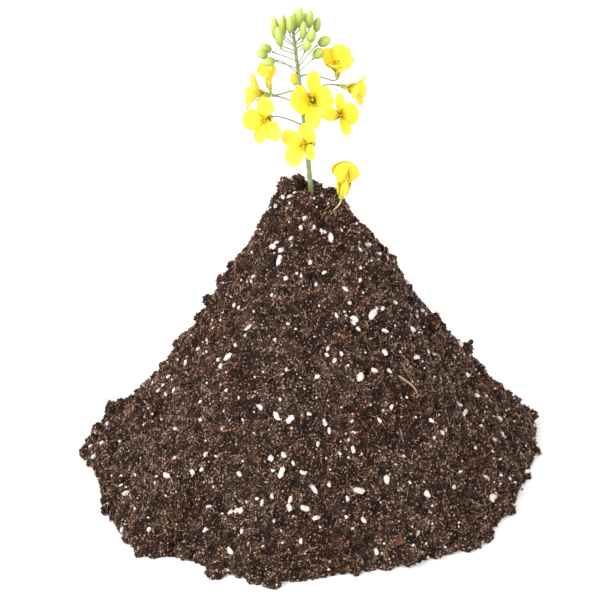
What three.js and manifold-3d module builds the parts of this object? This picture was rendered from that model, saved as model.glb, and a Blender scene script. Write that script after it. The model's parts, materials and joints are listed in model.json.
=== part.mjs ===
// A steep heap of potting compost with a sprig of flowering rape standing in its top, and one fallen
// flower on the rim. Millimetres, +Z up. The origin is the centre of the flat base, and -Y is the front.
import * as THREE from 'three';
import { mergeVertices } from 'three/addons/utils/BufferGeometryUtils.js';
import Module from 'manifold-3d';

const wasm = await Module();
wasm.setup();

// Room between two pieces that touch
const CLEARANCE = 0.3;

// Heap: a poured cone with a small hollow summit
const HEAP_HEIGHT = 120;
const BASE_RADIUS = 92;
const SUMMIT_RADIUS = 9;
const HOLLOW_DEPTH = 2.5;
const FLANK_SAG = 7;
const TOE_HEIGHT = 3;
const TOE_WIDTH = 10;
const TOE_ROUNDING = 2.5;
const LUMP_SIZE = 16;
const LUMP_HEIGHT = 3;
const CRUMPLE_SIZE = 8;
const CRUMPLE_HEIGHT = 3.6;
const HEAP_ROWS = 25;
const FLOOR_CUT = 0.6;

// Tongues of compost that ran out past the round foot
const TONGUES = [
  { azimuth: -179, width: 9, reach: 4 },
  { azimuth: -138, width: 16, reach: 7 },
  { azimuth: -131, width: 5, reach: 5 },
  { azimuth: -103, width: 14, reach: 6 },
  { azimuth: -48, width: 8, reach: 5 },
  { azimuth: 14, width: 16, reach: 8 },
  { azimuth: 72, width: 14, reach: 4 },
  { azimuth: 124, width: 12, reach: 5 },
];

// Big clods under the surface, each a rounded swelling
const CLODS = [
  { azimuth: 170, distance: 11.5, width: 3.6, height: 7.5 },
  { azimuth: 183, distance: 16.5, width: 4.5, height: 6 },
  { azimuth: -162, distance: 22, width: 6, height: 3.5 },
  { azimuth: 5, distance: 10, width: 3.4, height: 4.5 },
  { azimuth: 12, distance: 76, width: 12, height: 4 },
  { azimuth: -171, distance: 88, width: 8, height: 3 },
  { azimuth: -20, distance: 30, width: 9, height: 2.5 },
  { azimuth: 100, distance: 60, width: 14, height: 4 },
  { azimuth: 150, distance: 42, width: 10, height: 3 },
];

// Bigger crumbs that are part of the heap
const CRUMB_COUNT = 18;
const CRUMB_RADIUS = 2;
const CRUMB_SPREAD = 2.4;

// Main stem of the sprig
const STEM_FOOT = { x: -0.8, y: 0 };
const STEM_LENGTH = 68;
const STEM_BURIED = 14;
const STEM_LEAN = 7;
const STEM_BASE_RADIUS = 1.1;
const STEM_TIP_RADIUS = 0.55;
const STALK_RADIUS = 0.32;
const STALK_BEND = 0.4;
const STALK_CLIMB = 0.6;
const STALK_STEPS = 3;

// Flowers
const PETAL_LENGTH = 14;
const SIDE_PETAL_WIDTH = 9.2;
const UPRIGHT_PETAL_WIDTH = 5.8;
const PETAL_THICKNESS = 0.45;
const CLAW_LENGTH = 4;
const PETAL_CUP = 1;
const SEPAL_LENGTH = 6.5;
const SEPAL_WIDTH = 2;
const CUP_RADIUS = 1.2;
const CUP_GRIP = 0.6;
const STAMEN_RADIUS = 1;
const STAMEN_HEIGHT = 8;

// Petals that open less than this many degrees hide the stamens
const HIDING_ANGLE = 25;

// Open flowers: the stalk leaves the stem `below` its tip and ends `at` this place, seen from the tip.
// The flower looks along `facing`, its petals are turned by `turn` degrees, its upper and lower petals open
// by `open` degrees and its side petals by `sides`, and `size` is its share of a full-grown flower.
const FLOWERS = [
  {
    name: 'flower_front', below: 33, at: [6.8, -7, -25],
    facing: [0.06, -0.93, 0.36], turn: 0, open: 80, sides: 50, size: 1.12,
  },
  {
    name: 'flower_low', below: 46, at: [8, -3.6, -43.6],
    facing: [-0.5, -0.85, 0.15], turn: 36, open: 74, sides: 68, size: 1.02,
  },
  {
    name: 'flower_left_low', below: 38, at: [-8.7, -1.5, -33.6],
    facing: [-0.3, -0.93, 0.15], turn: -12, open: 80, sides: 42, size: 0.95,
  },
  {
    name: 'flower_left_back', below: 31, at: [-8.4, 6, -27.5],
    facing: [-0.88, -0.2, 0.2], turn: 45, open: 62, sides: 62, size: 0.82,
  },
  {
    name: 'flower_left_closed', below: 24, at: [-8.8, -2.5, -22.6],
    facing: [-0.15, -0.05, 1], turn: 20, open: 20, sides: 6, size: 0.72,
  },
  {
    name: 'flower_right_high', below: 18, at: [17, 3.4, -19.2],
    facing: [-0.05, -0.5, 0.85], turn: 62, open: 50, sides: 34, size: 0.92,
  },
  {
    name: 'flower_right_back', below: 27, at: [18.2, 8, -24.2],
    facing: [0.9, -0.4, -0.1], turn: 45, open: 60, sides: 60, size: 0.75,
  },
  {
    name: 'flower_right_low', below: 37, at: [17.2, 2.4, -34],
    facing: [0.15, -0.93, 0.3], turn: 14, open: 76, sides: 52, size: 0.88,
  },
];

// Buds, placed as the flowers are
const BUDS = [
  {
    name: 'bud_crown_1', below: 8, at: [-6.4, 1, -4],
    facing: [-0.1, 0.05, 1], length: 8.6, width: 2.9,
  },
  {
    name: 'bud_crown_2', below: 9, at: [-4.6, -4.2, -5],
    facing: [-0.15, -0.1, 1], length: 7.8, width: 2.9,
  },
  {
    name: 'bud_crown_3', below: 6, at: [-3.6, -0.8, -2],
    facing: [-0.08, 0, 1], length: 7.2, width: 2.6,
  },
  {
    name: 'bud_crown_4', below: 3, at: [-1.2, -3, -0.2],
    facing: [0, -0.05, 1], length: 6.8, width: 2.5,
  },
  {
    name: 'bud_crown_5', below: 1.5, at: [2.3, 0, 0.9],
    facing: [0.03, 0, 1], length: 8, width: 2.8,
  },
  {
    name: 'bud_crown_6', below: 4, at: [0.4, 3.6, -1.4],
    facing: [0, 0.05, 1], length: 7, width: 2.9,
  },
  {
    name: 'bud_crown_7', below: 4.5, at: [6, 0.8, 0.6],
    facing: [0.05, 0, 1], length: 7, width: 2.9,
  },
  {
    name: 'bud_crown_8', below: 7, at: [8.6, 3.2, -1.5],
    facing: [0.15, 0.05, 1], length: 5.5, width: 2.8,
  },
  {
    name: 'bud_crown_9', below: 8, at: [6.2, -3.2, -3.8],
    facing: [0.2, -0.1, 1], length: 5.5, width: 3.3,
  },
  {
    name: 'bud_crown_10', below: 13, at: [4.4, -5, -6.2],
    facing: [0.35, -0.1, 1], length: 4, width: 3.3,
  },
  {
    name: 'bud_crown_11', below: 5, at: [3.6, -3.2, -2.6],
    facing: [0.05, -0.05, 1], length: 7, width: 2.5,
  },
  {
    name: 'bud_crown_12', below: 5.5, at: [-3.4, 3.2, -2],
    facing: [-0.08, 0.05, 1], length: 7, width: 2.6,
  },
  {
    name: 'bud_crown_13', below: 5, at: [4, 4.4, -0.6],
    facing: [0.06, 0.08, 1], length: 6, width: 2.6,
  },
  {
    name: 'bud_left_1', below: 12, at: [-8, 0.4, -8],
    facing: [-0.85, 0, 0.45], length: 4.6, width: 3.3,
  },
  {
    name: 'bud_left_2', below: 15, at: [-9.6, -3.6, -9.2],
    facing: [-0.75, -0.1, 0.55], length: 4.6, width: 3.2,
  },
  {
    name: 'bud_left_3', below: 17, at: [-6.4, -6.2, -9.4],
    facing: [-0.95, -0.2, -0.1], length: 4.6, width: 3.2,
  },
  {
    name: 'bud_right_1', below: 14, at: [9.2, 0, -5.4],
    facing: [0.85, 0, 0.5], length: 5.2, width: 3.6,
  },
  {
    name: 'bud_right_2', below: 16, at: [7.6, -2, -10],
    facing: [0.65, -0.1, 0.75], length: 4.8, width: 3.6,
  },
  {
    name: 'bud_yellow', below: 27, at: [1.2, 3.6, -23],
    facing: [-0.2, 0.25, 0.9], length: 4.8, width: 3.2,
  },
];

// Fallen flower, held up by its own stalk
const FALLEN = {
  azimuth: -53, climb: 0.96, rise: [3.4, 1.4, 4.4],
  facing: [0.14, 0, 1], turn: 10, open: 26, sides: 8, size: 1.1,
};
const FALLEN_BURIED = 3;

// Grains of perlite set in the surface. Azimuth and `climb` (0 at the toe, 1 at the rim) place them, and
// `turn` is the angle of their long side from straight downhill.
const PERLITE = [
  { azimuth: -35, climb: 0.06, length: 5.1, width: 4.1, turn: 70 },
  { azimuth: -134, climb: 0.58, length: 5.8, width: 2.6, turn: -20 },
  { azimuth: -100, climb: 0.31, length: 5.4, width: 2.7, turn: -15 },
  { azimuth: -125, climb: 0.84, length: 5.4, width: 2.5, turn: -5 },
  { azimuth: -99, climb: 0.45, length: 4.8, width: 2.8, turn: -45 },
  { azimuth: -119, climb: 0.15, length: 4.8, width: 3.3, turn: 45 },
  { azimuth: -90, climb: 0.28, length: 6, width: 2.6, turn: 30 },
  { azimuth: -140, climb: 0.87, length: 4.8, width: 2.7, turn: -60 },
  { azimuth: -64, climb: 0.09, length: 5.8, width: 2.4, turn: -40 },
  { azimuth: -76, climb: 0.25, length: 5.2, width: 2.6, turn: 60 },
  { azimuth: -66, climb: 0.27, length: 4.3, width: 2.5, turn: -10 },
  { azimuth: -50, climb: 0.69, length: 5.6, width: 3.1, turn: -50 },
  { azimuth: -69, climb: 0.88, length: 4.3, width: 2.4, turn: 0 },
  { azimuth: -148, climb: 0.1, length: 4.2, width: 2.4, turn: -30 },
  { azimuth: -30, climb: 0.14, length: 5.2, width: 2.3, turn: 20 },
  { azimuth: -67, climb: 0.55, length: 4.3, width: 3.2, turn: -40 },
  { azimuth: -25, climb: 0.58, length: 4.6, width: 2.4, turn: 15 },
  { azimuth: 12, climb: 0.4, length: 4.8, width: 2.8, turn: 40 },
  { azimuth: 38, climb: 0.7, length: 5.2, width: 2.6, turn: -25 },
  { azimuth: 64, climb: 0.2, length: 5, width: 3, turn: 10 },
  { azimuth: 88, climb: 0.5, length: 4.6, width: 2.6, turn: 70 },
  { azimuth: 112, climb: 0.8, length: 5.4, width: 2.8, turn: -15 },
  { azimuth: 139, climb: 0.32, length: 4.8, width: 2.6, turn: 35 },
  { azimuth: 168, climb: 0.6, length: 5.2, width: 2.5, turn: -70 },
];
const PERLITE_THICKNESS = 2.4;

// Extra length, width and thickness of the pocket around a grain, so that its slanting faces keep clear too
const POCKET_ROOM = 2.6 * CLEARANCE;

// Bits of bark and wood set in the surface in the same way
const SCRAPS = [
  { name: 'bark_chip', azimuth: -68, climb: 0.05, length: 5.4, width: 3.4, thickness: 1.6, turn: 80 },
  { name: 'bark_bit', azimuth: -72, climb: 0.65, length: 4, width: 2.4, thickness: 1.6, turn: 60 },
  { name: 'wood_splinter', azimuth: -153, climb: 0.84, length: 7.5, width: 1.5, thickness: 1.4, turn: 55 },
];

// Thin root that arches over the surface between two places
const ROOT = { from: { azimuth: -50, climb: 0.55 }, to: { azimuth: -41, climb: 0.44 } };
const ROOT_RADIUS = 0.4;
const ROOT_ARCH = 2.6;
const ROOT_BURIED = 1.6;

// Dry stub with a round head, standing out of the right flank
const STUB = { azimuth: 19, climb: 0.32 };
const STUB_BURIED = 4;
const STUB_HEIGHT = 5.5;
const STUB_RADIUS = 0.55;
const STUB_HEAD_RADIUS = 1.2;
const STUB_TILT = [0.35, 0, 1];

const MATERIALS = {
  compost: new THREE.MeshStandardMaterial({ color: 0x4c372c, roughness: 0.98 }),
  perlite: new THREE.MeshStandardMaterial({ color: 0xf4efe9, roughness: 0.85 }),
  petal: new THREE.MeshStandardMaterial({ color: 0xf8e51f, roughness: 0.6 }),
  bud: new THREE.MeshStandardMaterial({ color: 0xbccb55, roughness: 0.6 }),
  stem: new THREE.MeshStandardMaterial({ color: 0x75894f, roughness: 0.65 }),
  wood: new THREE.MeshStandardMaterial({ color: 0x6e4a34, roughness: 0.9 }),
  root: new THREE.MeshStandardMaterial({ color: 0xb89b7a, roughness: 0.9 }),
};

const UP = new THREE.Vector3(0, 0, 1);
const QUARTER_TURN = Math.PI / 2;
const GOLDEN_ANGLE = Math.PI * (3 - Math.sqrt(5));
const radians = THREE.MathUtils.degToRad;

// The same number between 0 and 1 each time for a pair of whole numbers
function scatter(index, channel) {
  const wave = Math.sin(index * 127.1 + channel * 311.7) * 43758.5453;
  return wave - Math.floor(wave);
}

// Smooth unevenness between -1 and 1 over the ground plan, with bumps about one unit across
function unevenness(x, y, channel) {
  const column = Math.floor(x);
  const row = Math.floor(y);
  const across = THREE.MathUtils.smoothstep(x - column, 0, 1);
  const along = THREE.MathUtils.smoothstep(y - row, 0, 1);
  const corner = (right, up) => scatter(column + right + 57 * (row + up), channel);
  const near = THREE.MathUtils.lerp(corner(0, 0), corner(1, 0), across);
  const far = THREE.MathUtils.lerp(corner(0, 1), corner(1, 1), across);
  return 2 * THREE.MathUtils.lerp(near, far, along) - 1;
}

function bell(distance, width) {
  return Math.exp(-((distance / width) ** 2));
}

function toeRadius(azimuth) {
  let radius = BASE_RADIUS;
  for (const tongue of TONGUES) {
    const away = azimuth - radians(tongue.azimuth);
    const nearest = THREE.MathUtils.euclideanModulo(away + Math.PI, 2 * Math.PI) - Math.PI;
    radius += tongue.reach * bell(nearest, radians(tongue.width));
  }
  return radius;
}

// Height of the compost over a point of the ground plan
function heapHeight(x, y) {
  const distance = Math.hypot(x, y);
  const toe = toeRadius(Math.atan2(y, x));
  const fromToe = Math.max(toe - distance, 0);
  const down = Math.max((distance - SUMMIT_RADIUS) / (toe - SUMMIT_RADIUS), 0);
  const flank = HEAP_HEIGHT * (1 - down) - FLANK_SAG * Math.sin(Math.PI * down ** 1.2);
  const hollow = HOLLOW_DEPTH * Math.max(1 - (distance / SUMMIT_RADIUS) ** 2, 0);
  const toeEdge = 1 - Math.exp(-fromToe / TOE_ROUNDING);
  let bumps = LUMP_HEIGHT * unevenness(x / LUMP_SIZE, y / LUMP_SIZE, 1);
  bumps += CRUMPLE_HEIGHT * unevenness(x / CRUMPLE_SIZE, y / CRUMPLE_SIZE, 2);
  for (const clod of CLODS) {
    const turn = radians(clod.azimuth);
    const away = Math.hypot(x - clod.distance * Math.cos(turn), y - clod.distance * Math.sin(turn));
    bumps += clod.height * bell(away, clod.width);
  }
  return Math.max(flank - hollow + (TOE_HEIGHT * bell(fromToe, TOE_WIDTH) + bumps) * toeEdge, 0);
}

// Point of the surface at an azimuth in degrees and a climb from the toe (0) to the rim (1)
function onHeap({ azimuth, climb }) {
  const turn = radians(azimuth);
  const distance = THREE.MathUtils.lerp(toeRadius(turn), SUMMIT_RADIUS, climb);
  const x = distance * Math.cos(turn);
  const y = distance * Math.sin(turn);
  return new THREE.Vector3(x, y, heapHeight(x, y));
}

// Outward direction of the surface over a point, averaged over one clod
function outwardAt({ x, y }) {
  const reach = CRUMPLE_SIZE / 2;
  const slopeX = (heapHeight(x + reach, y) - heapHeight(x - reach, y)) / (2 * reach);
  const slopeY = (heapHeight(x, y + reach) - heapHeight(x, y - reach)) / (2 * reach);
  return new THREE.Vector3(-slopeX, -slopeY, 1).normalize();
}

function solidOf(geometry) {
  geometry.deleteAttribute('normal');
  geometry.deleteAttribute('uv');
  const merged = mergeVertices(geometry, 1e-4);
  return new wasm.Manifold(new wasm.Mesh({
    numProp: 3,
    vertProperties: Float32Array.from(merged.attributes.position.array),
    triVerts: Uint32Array.from(merged.index.array),
  }));
}

function geometryOf(solid) {
  const mesh = solid.getMesh();
  const geometry = new THREE.BufferGeometry();
  geometry.setAttribute('position', new THREE.BufferAttribute(mesh.vertProperties, 3));
  geometry.setIndex(new THREE.BufferAttribute(mesh.triVerts, 1));
  geometry.computeVertexNormals();
  return geometry;
}

// The one big body of a solid, without scraps that a cut has freed and with closed hollows filled
function largestBody(solid) {
  const bodies = solid.decompose();
  return bodies.reduce((best, body) => (body.volume() > best.volume() ? body : best));
}

function reshape(geometry, move) {
  const position = geometry.attributes.position;
  const point = new THREE.Vector3();
  for (let index = 0; index < position.count; index++) {
    point.fromBufferAttribute(position, index);
    move(point);
    position.setXYZ(index, point.x, point.y, point.z);
  }
  return geometry;
}

// The bare heap: an octahedron whose upper half becomes the flank, and whose lower half is a shallow dish
// that the floor cut takes away
function bareHeap() {
  const start = new THREE.OctahedronGeometry(1, HEAP_ROWS - 1);
  start.deleteAttribute('normal');
  start.deleteAttribute('uv');
  const geometry = mergeVertices(start, 1e-5);
  return reshape(geometry, (point) => {
    const across = Math.abs(point.x) + Math.abs(point.y);
    const outward = across / (across + Math.abs(point.z));
    const turn = Math.atan2(point.y, point.x);
    const quarter = Math.floor(turn / QUARTER_TURN);
    const within = turn - quarter * QUARTER_TURN;
    const share = Math.sin(within) / (Math.sin(within) + Math.cos(within));
    const azimuth = (quarter + share) * QUARTER_TURN;
    const distance = outward * toeRadius(azimuth);
    const upper = point.z > 1e-6;
    point.x = distance * Math.cos(azimuth);
    point.y = distance * Math.sin(azimuth);
    point.z = (upper ? heapHeight(point.x, point.y) : outward - 1) - FLOOR_CUT;
  });
}

// An angular grain with its long side along X. Each number gives another form.
function grain(number, length, width, thickness) {
  return reshape(new THREE.IcosahedronGeometry(0.5, 0), (point) => {
    const corner = Math.round(7 * point.x + 31 * point.y + 101 * point.z);
    const reach = 0.84 + 0.32 * scatter(corner, number);
    point.set(point.x * reach * length, point.y * reach * width, point.z * reach * thickness);
  });
}

// Places a form on the surface, its Z outwards and its X turned from straight downhill
function placeOnHeap(place, turn) {
  const outward = outwardAt(place);
  const downhill = new THREE.Vector3(outward.x, outward.y, 0).normalize();
  downhill.addScaledVector(outward, -downhill.dot(outward)).normalize();
  const sideways = new THREE.Vector3().crossVectors(outward, downhill);
  const matrix = new THREE.Matrix4().makeBasis(downhill, sideways, outward);
  matrix.multiply(new THREE.Matrix4().makeRotationZ(radians(turn)));
  return matrix.setPosition(place);
}

function crumbs() {
  const list = [];
  for (let index = 0; index < CRUMB_COUNT; index++) {
    const climb = 0.97 * scatter(index, 11) ** 1.5;
    const azimuth = THREE.MathUtils.radToDeg(GOLDEN_ANGLE * index);
    const size = 2 * (CRUMB_RADIUS + CRUMB_SPREAD * scatter(index, 12) * (1 - climb));
    const crumb = grain(index, size * 1.3, size, size * 0.7);
    crumb.applyMatrix4(placeOnHeap(onHeap({ azimuth, climb }), 180 * scatter(index, 13)));
    list.push(solidOf(crumb));
  }
  return list;
}

// Round stalk along a curve
function stalk(curve, radius, steps) {
  const section = new THREE.Shape().absarc(0, 0, radius, 0, 2 * Math.PI);
  const options = { steps, curveSegments: 3, bevelEnabled: false, extrudePath: curve };
  return new THREE.ExtrudeGeometry(section, options);
}

function stemCurve() {
  const soil = heapHeight(STEM_FOOT.x, STEM_FOOT.y);
  const rise = (share) => new THREE.Vector3(
    STEM_FOOT.x - STEM_LEAN * share ** 1.2,
    STEM_FOOT.y,
    soil + STEM_LENGTH * share,
  );
  const bottom = new THREE.Vector3(STEM_FOOT.x, STEM_FOOT.y, soil - STEM_BURIED);
  return new THREE.CatmullRomCurve3([bottom, rise(0), rise(0.35), rise(0.7), rise(1)]);
}

// The main stem, thinner towards its tip. `extra` widens it for the hole that it stands in.
function mainStem(curve, extra) {
  const length = curve.getLength();
  const rows = 9;
  const profile = [new THREE.Vector2(0, -extra)];
  for (let row = 0; row <= rows; row++) {
    const share = row / rows;
    const radius = THREE.MathUtils.lerp(STEM_BASE_RADIUS, STEM_TIP_RADIUS, share) + extra;
    profile.push(new THREE.Vector2(radius, share * length - extra * (1 - share)));
  }
  profile.push(new THREE.Vector2(0, length));
  const geometry = new THREE.LatheGeometry(profile, 8).rotateX(QUARTER_TURN);
  return reshape(geometry, (point) => {
    const height = THREE.MathUtils.clamp(point.z / length, 0, 1);
    const centre = curve.getPointAt(height);
    point.set(point.x + centre.x, point.y + centre.y, centre.z + Math.min(point.z, 0));
  });
}

// Base point and direction of a flower or bud, and the curve of the stalk that carries it
function headPlace(curve, head) {
  const tip = curve.getPointAt(1);
  const start = curve.getPointAt(1 - head.below / curve.getLength());
  const end = tip.clone().add(new THREE.Vector3(...head.at));
  const facing = new THREE.Vector3(...head.facing).normalize();
  const reach = STALK_BEND * start.distanceTo(end);
  const leaving = end.clone().sub(start).setZ(0).normalize().addScaledVector(UP, STALK_CLIMB).normalize();
  const path = new THREE.CubicBezierCurve3(
    start,
    start.clone().addScaledVector(leaving, reach),
    end.clone().addScaledVector(facing, -reach),
    end,
  );
  return { path, facing, base: end.clone().addScaledVector(facing, CLEARANCE) };
}

function sprigStem(curve) {
  const parts = [solidOf(mainStem(curve, 0))];
  for (const head of [...FLOWERS, ...BUDS]) {
    parts.push(solidOf(stalk(headPlace(curve, head).path, STALK_RADIUS, STALK_STEPS)));
  }
  return largestBody(wasm.Manifold.union(parts));
}

// A petal or sepal: a thin blade that leaves the cup at the height `foot`, rises beside the axis to the top
// of its claw and then opens outwards
function blade({ length, width, thickness, foot, claw, start, open, cup, columns, rows }) {
  const lean = radians(open);
  const rest = length - claw;
  const midline = new THREE.QuadraticBezierCurve(
    new THREE.Vector2(start, foot),
    new THREE.Vector2(start + claw * Math.sin(lean) * 0.25, claw + 1),
    new THREE.Vector2(start + rest * Math.sin(lean), claw + 1 + rest * Math.cos(lean)),
  );
  const geometry = new THREE.BoxGeometry(1, 1, 1, columns, rows, 1);
  return reshape(geometry, (point) => {
    const along = point.y + 0.5;
    const across = -point.x;
    const halfShare = Math.sin(Math.PI * (0.09 + 0.77 * along ** 1.2));
    const centre = midline.getPoint(along);
    const forward = midline.getTangent(along);
    const lift = cup * halfShare * (2 * across) ** 2 + point.z * thickness;
    const out = centre.x - forward.y * lift;
    const up = centre.y + forward.x * lift;
    point.set(out, across * width * halfShare, up);
  });
}

// A form turned about Z from pairs of radius and height
function turned(outline, sides) {
  const profile = outline.map(([radius, height]) => new THREE.Vector2(radius, height));
  return new THREE.LatheGeometry(profile, sides).rotateX(QUARTER_TURN);
}

// A four-petalled flower on its green cup, with its base at the origin and looking along +Z
function flower({ open, sides, size }) {
  const cupTop = CLAW_LENGTH * size;
  const stamenTop = STAMEN_HEIGHT * size;
  const cupOutline = [[0, 0], [0.5, 0], [CUP_RADIUS, 1], [CUP_RADIUS, cupTop], [0, cupTop]];
  const stamenOutline = [[0, cupTop - 1], [0.5, cupTop - 1], [STAMEN_RADIUS, stamenTop - 1], [0, stamenTop]];
  const parts = [solidOf(turned(cupOutline, 5))];
  if (sides > HIDING_ANGLE) parts.push(solidOf(turned(stamenOutline, 5)));
  for (let quarter = 0; quarter < 4; quarter++) {
    const upright = quarter % 2 === 1;
    const petal = blade({
      length: PETAL_LENGTH * size,
      width: (upright ? UPRIGHT_PETAL_WIDTH : SIDE_PETAL_WIDTH) * size,
      thickness: PETAL_THICKNESS,
      foot: cupTop - CUP_GRIP,
      claw: cupTop,
      start: CUP_RADIUS * 0.5,
      open: upright ? open : sides,
      cup: PETAL_CUP * size,
      columns: 2,
      rows: 4,
    });
    const sepal = blade({
      length: SEPAL_LENGTH * size,
      width: SEPAL_WIDTH * size,
      thickness: PETAL_THICKNESS,
      foot: 1,
      claw: 1,
      start: CUP_RADIUS * 0.9,
      open: sides * 0.8,
      cup: 0,
      columns: 1,
      rows: 1,
    });
    parts.push(solidOf(petal.rotateZ(quarter * QUARTER_TURN)));
    parts.push(solidOf(sepal.rotateZ((quarter + 0.5) * QUARTER_TURN)));
  }
  return largestBody(wasm.Manifold.union(parts));
}

// A closed bud of four sepals, with its base at the origin and its tip along +Z
function bud({ length, width }) {
  const radius = width / 2;
  const outline = [
    [0, 0],
    [0.6 * radius, 0.05 * length],
    [radius, 0.45 * length],
    [0.6 * radius, 0.88 * length],
    [0, length],
  ];
  return turned(outline, 6);
}

// Turns a form that looks along +Z to look along `facing`, after turning it about its own axis
function facingTurn(facing, turn = 0) {
  const upright = new THREE.Quaternion().setFromUnitVectors(UP, facing);
  return upright.multiply(new THREE.Quaternion().setFromAxisAngle(UP, radians(turn)));
}

// The fallen flower's stalk, from inside the compost to the flower's base
function fallenStalkCurve() {
  const soil = onHeap(FALLEN);
  const top = soil.clone().add(new THREE.Vector3(...FALLEN.rise));
  const facing = new THREE.Vector3(...FALLEN.facing).normalize();
  const bottom = soil.clone().addScaledVector(outwardAt(soil), -FALLEN_BURIED);
  return new THREE.QuadraticBezierCurve3(bottom, top.clone().addScaledVector(facing, -FALLEN_BURIED), top);
}

// The root fibre, with both ends in the compost and its middle above it
function rootCurve() {
  const from = onHeap(ROOT.from);
  const to = onHeap(ROOT.to);
  const middle = onHeap({
    azimuth: (ROOT.from.azimuth + ROOT.to.azimuth) / 2,
    climb: (ROOT.from.climb + ROOT.to.climb) / 2,
  });
  const outward = outwardAt(middle);
  return new THREE.CatmullRomCurve3([
    from.addScaledVector(outward, -ROOT_BURIED),
    middle.addScaledVector(outward, ROOT_ARCH),
    to.addScaledVector(outward, -ROOT_BURIED),
  ]);
}

// The dry stub: a turned form with its foot in the compost and a round head on top
function stub(extra) {
  const neck = STUB_HEIGHT - STUB_HEAD_RADIUS;
  const foot = -STUB_BURIED - extra;
  const profile = [new THREE.Vector2(0, foot), new THREE.Vector2(STUB_RADIUS + extra, foot)];
  for (const angle of [-62, -20, 25, 62]) {
    const turn = radians(angle);
    const radius = STUB_HEAD_RADIUS * Math.cos(turn) + extra;
    profile.push(new THREE.Vector2(radius, neck + STUB_HEAD_RADIUS * Math.sin(turn)));
  }
  profile.push(new THREE.Vector2(0, STUB_HEIGHT + extra));
  return new THREE.LatheGeometry(profile, 7).rotateX(QUARTER_TURN);
}

const model = new THREE.Group();
const pockets = [];

function add(name, geometry, material) {
  const mesh = new THREE.Mesh(geometry, material);
  mesh.name = name;
  model.add(mesh);
  return mesh;
}

// A grain or scrap set in the surface, and the pocket in the compost that it lies in
function addSetIn(name, number, size, place, turn, material) {
  const matrix = placeOnHeap(place, turn);
  const { length, width, thickness } = size;
  const piece = grain(number, length, width, thickness);
  const pocket = grain(number, length + POCKET_ROOM, width + POCKET_ROOM, thickness + POCKET_ROOM);
  const mesh = add(name, mergeVertices(bareGeometry(piece), 1e-4), material);
  mesh.applyMatrix4(matrix);
  pockets.push(solidOf(pocket.applyMatrix4(matrix)));
}

function bareGeometry(geometry) {
  geometry.deleteAttribute('normal');
  geometry.deleteAttribute('uv');
  return geometry;
}

const stem = stemCurve();
add('sprig_stem', geometryOf(sprigStem(stem)), MATERIALS.stem);
pockets.push(solidOf(mainStem(stem, CLEARANCE)));

for (const head of FLOWERS) {
  const { base, facing } = headPlace(stem, head);
  const mesh = add(head.name, geometryOf(flower(head)), MATERIALS.petal);
  mesh.position.copy(base);
  mesh.quaternion.copy(facingTurn(facing, head.turn));
}

for (const head of BUDS) {
  const { base, facing } = headPlace(stem, head);
  const mesh = add(head.name, bud(head), head.name === 'bud_yellow' ? MATERIALS.petal : MATERIALS.bud);
  mesh.position.copy(base);
  mesh.quaternion.copy(facingTurn(facing));
}

const fallenCurve = fallenStalkCurve();
add('fallen_flower_stalk', stalk(fallenCurve, STALK_RADIUS, 5), MATERIALS.stem);
pockets.push(solidOf(stalk(fallenCurve, STALK_RADIUS + CLEARANCE, 5)));
const fallenFacing = new THREE.Vector3(...FALLEN.facing).normalize();
const fallen = add('fallen_flower', geometryOf(flower(FALLEN)), MATERIALS.petal);
fallen.position.copy(fallenCurve.getPoint(1)).addScaledVector(fallenFacing, CLEARANCE);
fallen.quaternion.copy(facingTurn(fallenFacing, FALLEN.turn));

PERLITE.forEach((place, index) => {
  const size = { length: place.length, width: place.width, thickness: PERLITE_THICKNESS };
  addSetIn(`perlite_${index + 1}`, index + 100, size, onHeap(place), place.turn, MATERIALS.perlite);
});

SCRAPS.forEach((scrap, index) => {
  addSetIn(scrap.name, index + 200, scrap, onHeap(scrap), scrap.turn, MATERIALS.wood);
});

const root = rootCurve();
add('root_fibre', stalk(root, ROOT_RADIUS, 8), MATERIALS.root);
pockets.push(solidOf(stalk(root, ROOT_RADIUS + CLEARANCE, 8)));

const stubTurn = facingTurn(new THREE.Vector3(...STUB_TILT).normalize());
const stubPlace = onHeap(STUB);
const stubMesh = add('twig_stub', stub(0), MATERIALS.wood);
stubMesh.position.copy(stubPlace);
stubMesh.quaternion.copy(stubTurn);
const stubPocket = stub(CLEARANCE).applyQuaternion(stubTurn);
pockets.push(solidOf(stubPocket.translate(stubPlace.x, stubPlace.y, stubPlace.z)));

const filled = wasm.Manifold.union([solidOf(bareHeap()), ...crumbs()]);
const floorCut = new THREE.BoxGeometry(3 * BASE_RADIUS, 3 * BASE_RADIUS, HEAP_HEIGHT);
floorCut.translate(0, 0, -HEAP_HEIGHT / 2);
const heap = filled.subtract(wasm.Manifold.union([solidOf(floorCut), ...pockets]));
add('compost_heap', geometryOf(largestBody(heap)), MATERIALS.compost);

export default model;
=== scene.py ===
# %% [markdown]
# # A heap of potting compost with a flowering sprig in its top
#
# The object is a steep poured heap of dark moist compost, white perlite grains mixed through it, a sprig
# of yellow rape in full flower standing in the summit, and one flower that has dropped onto the rim.
# The solids give the true places and sizes. This script gives them their surfaces: thousands of crumbs
# and fibres on the heap, chalky grains, thin veined petals, waxy buds and a mottled stem.

# %% Load the solids
import json
import math

import bmesh
import bpy
import numpy as np
from mathutils import Matrix, Quaternion, Vector

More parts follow.
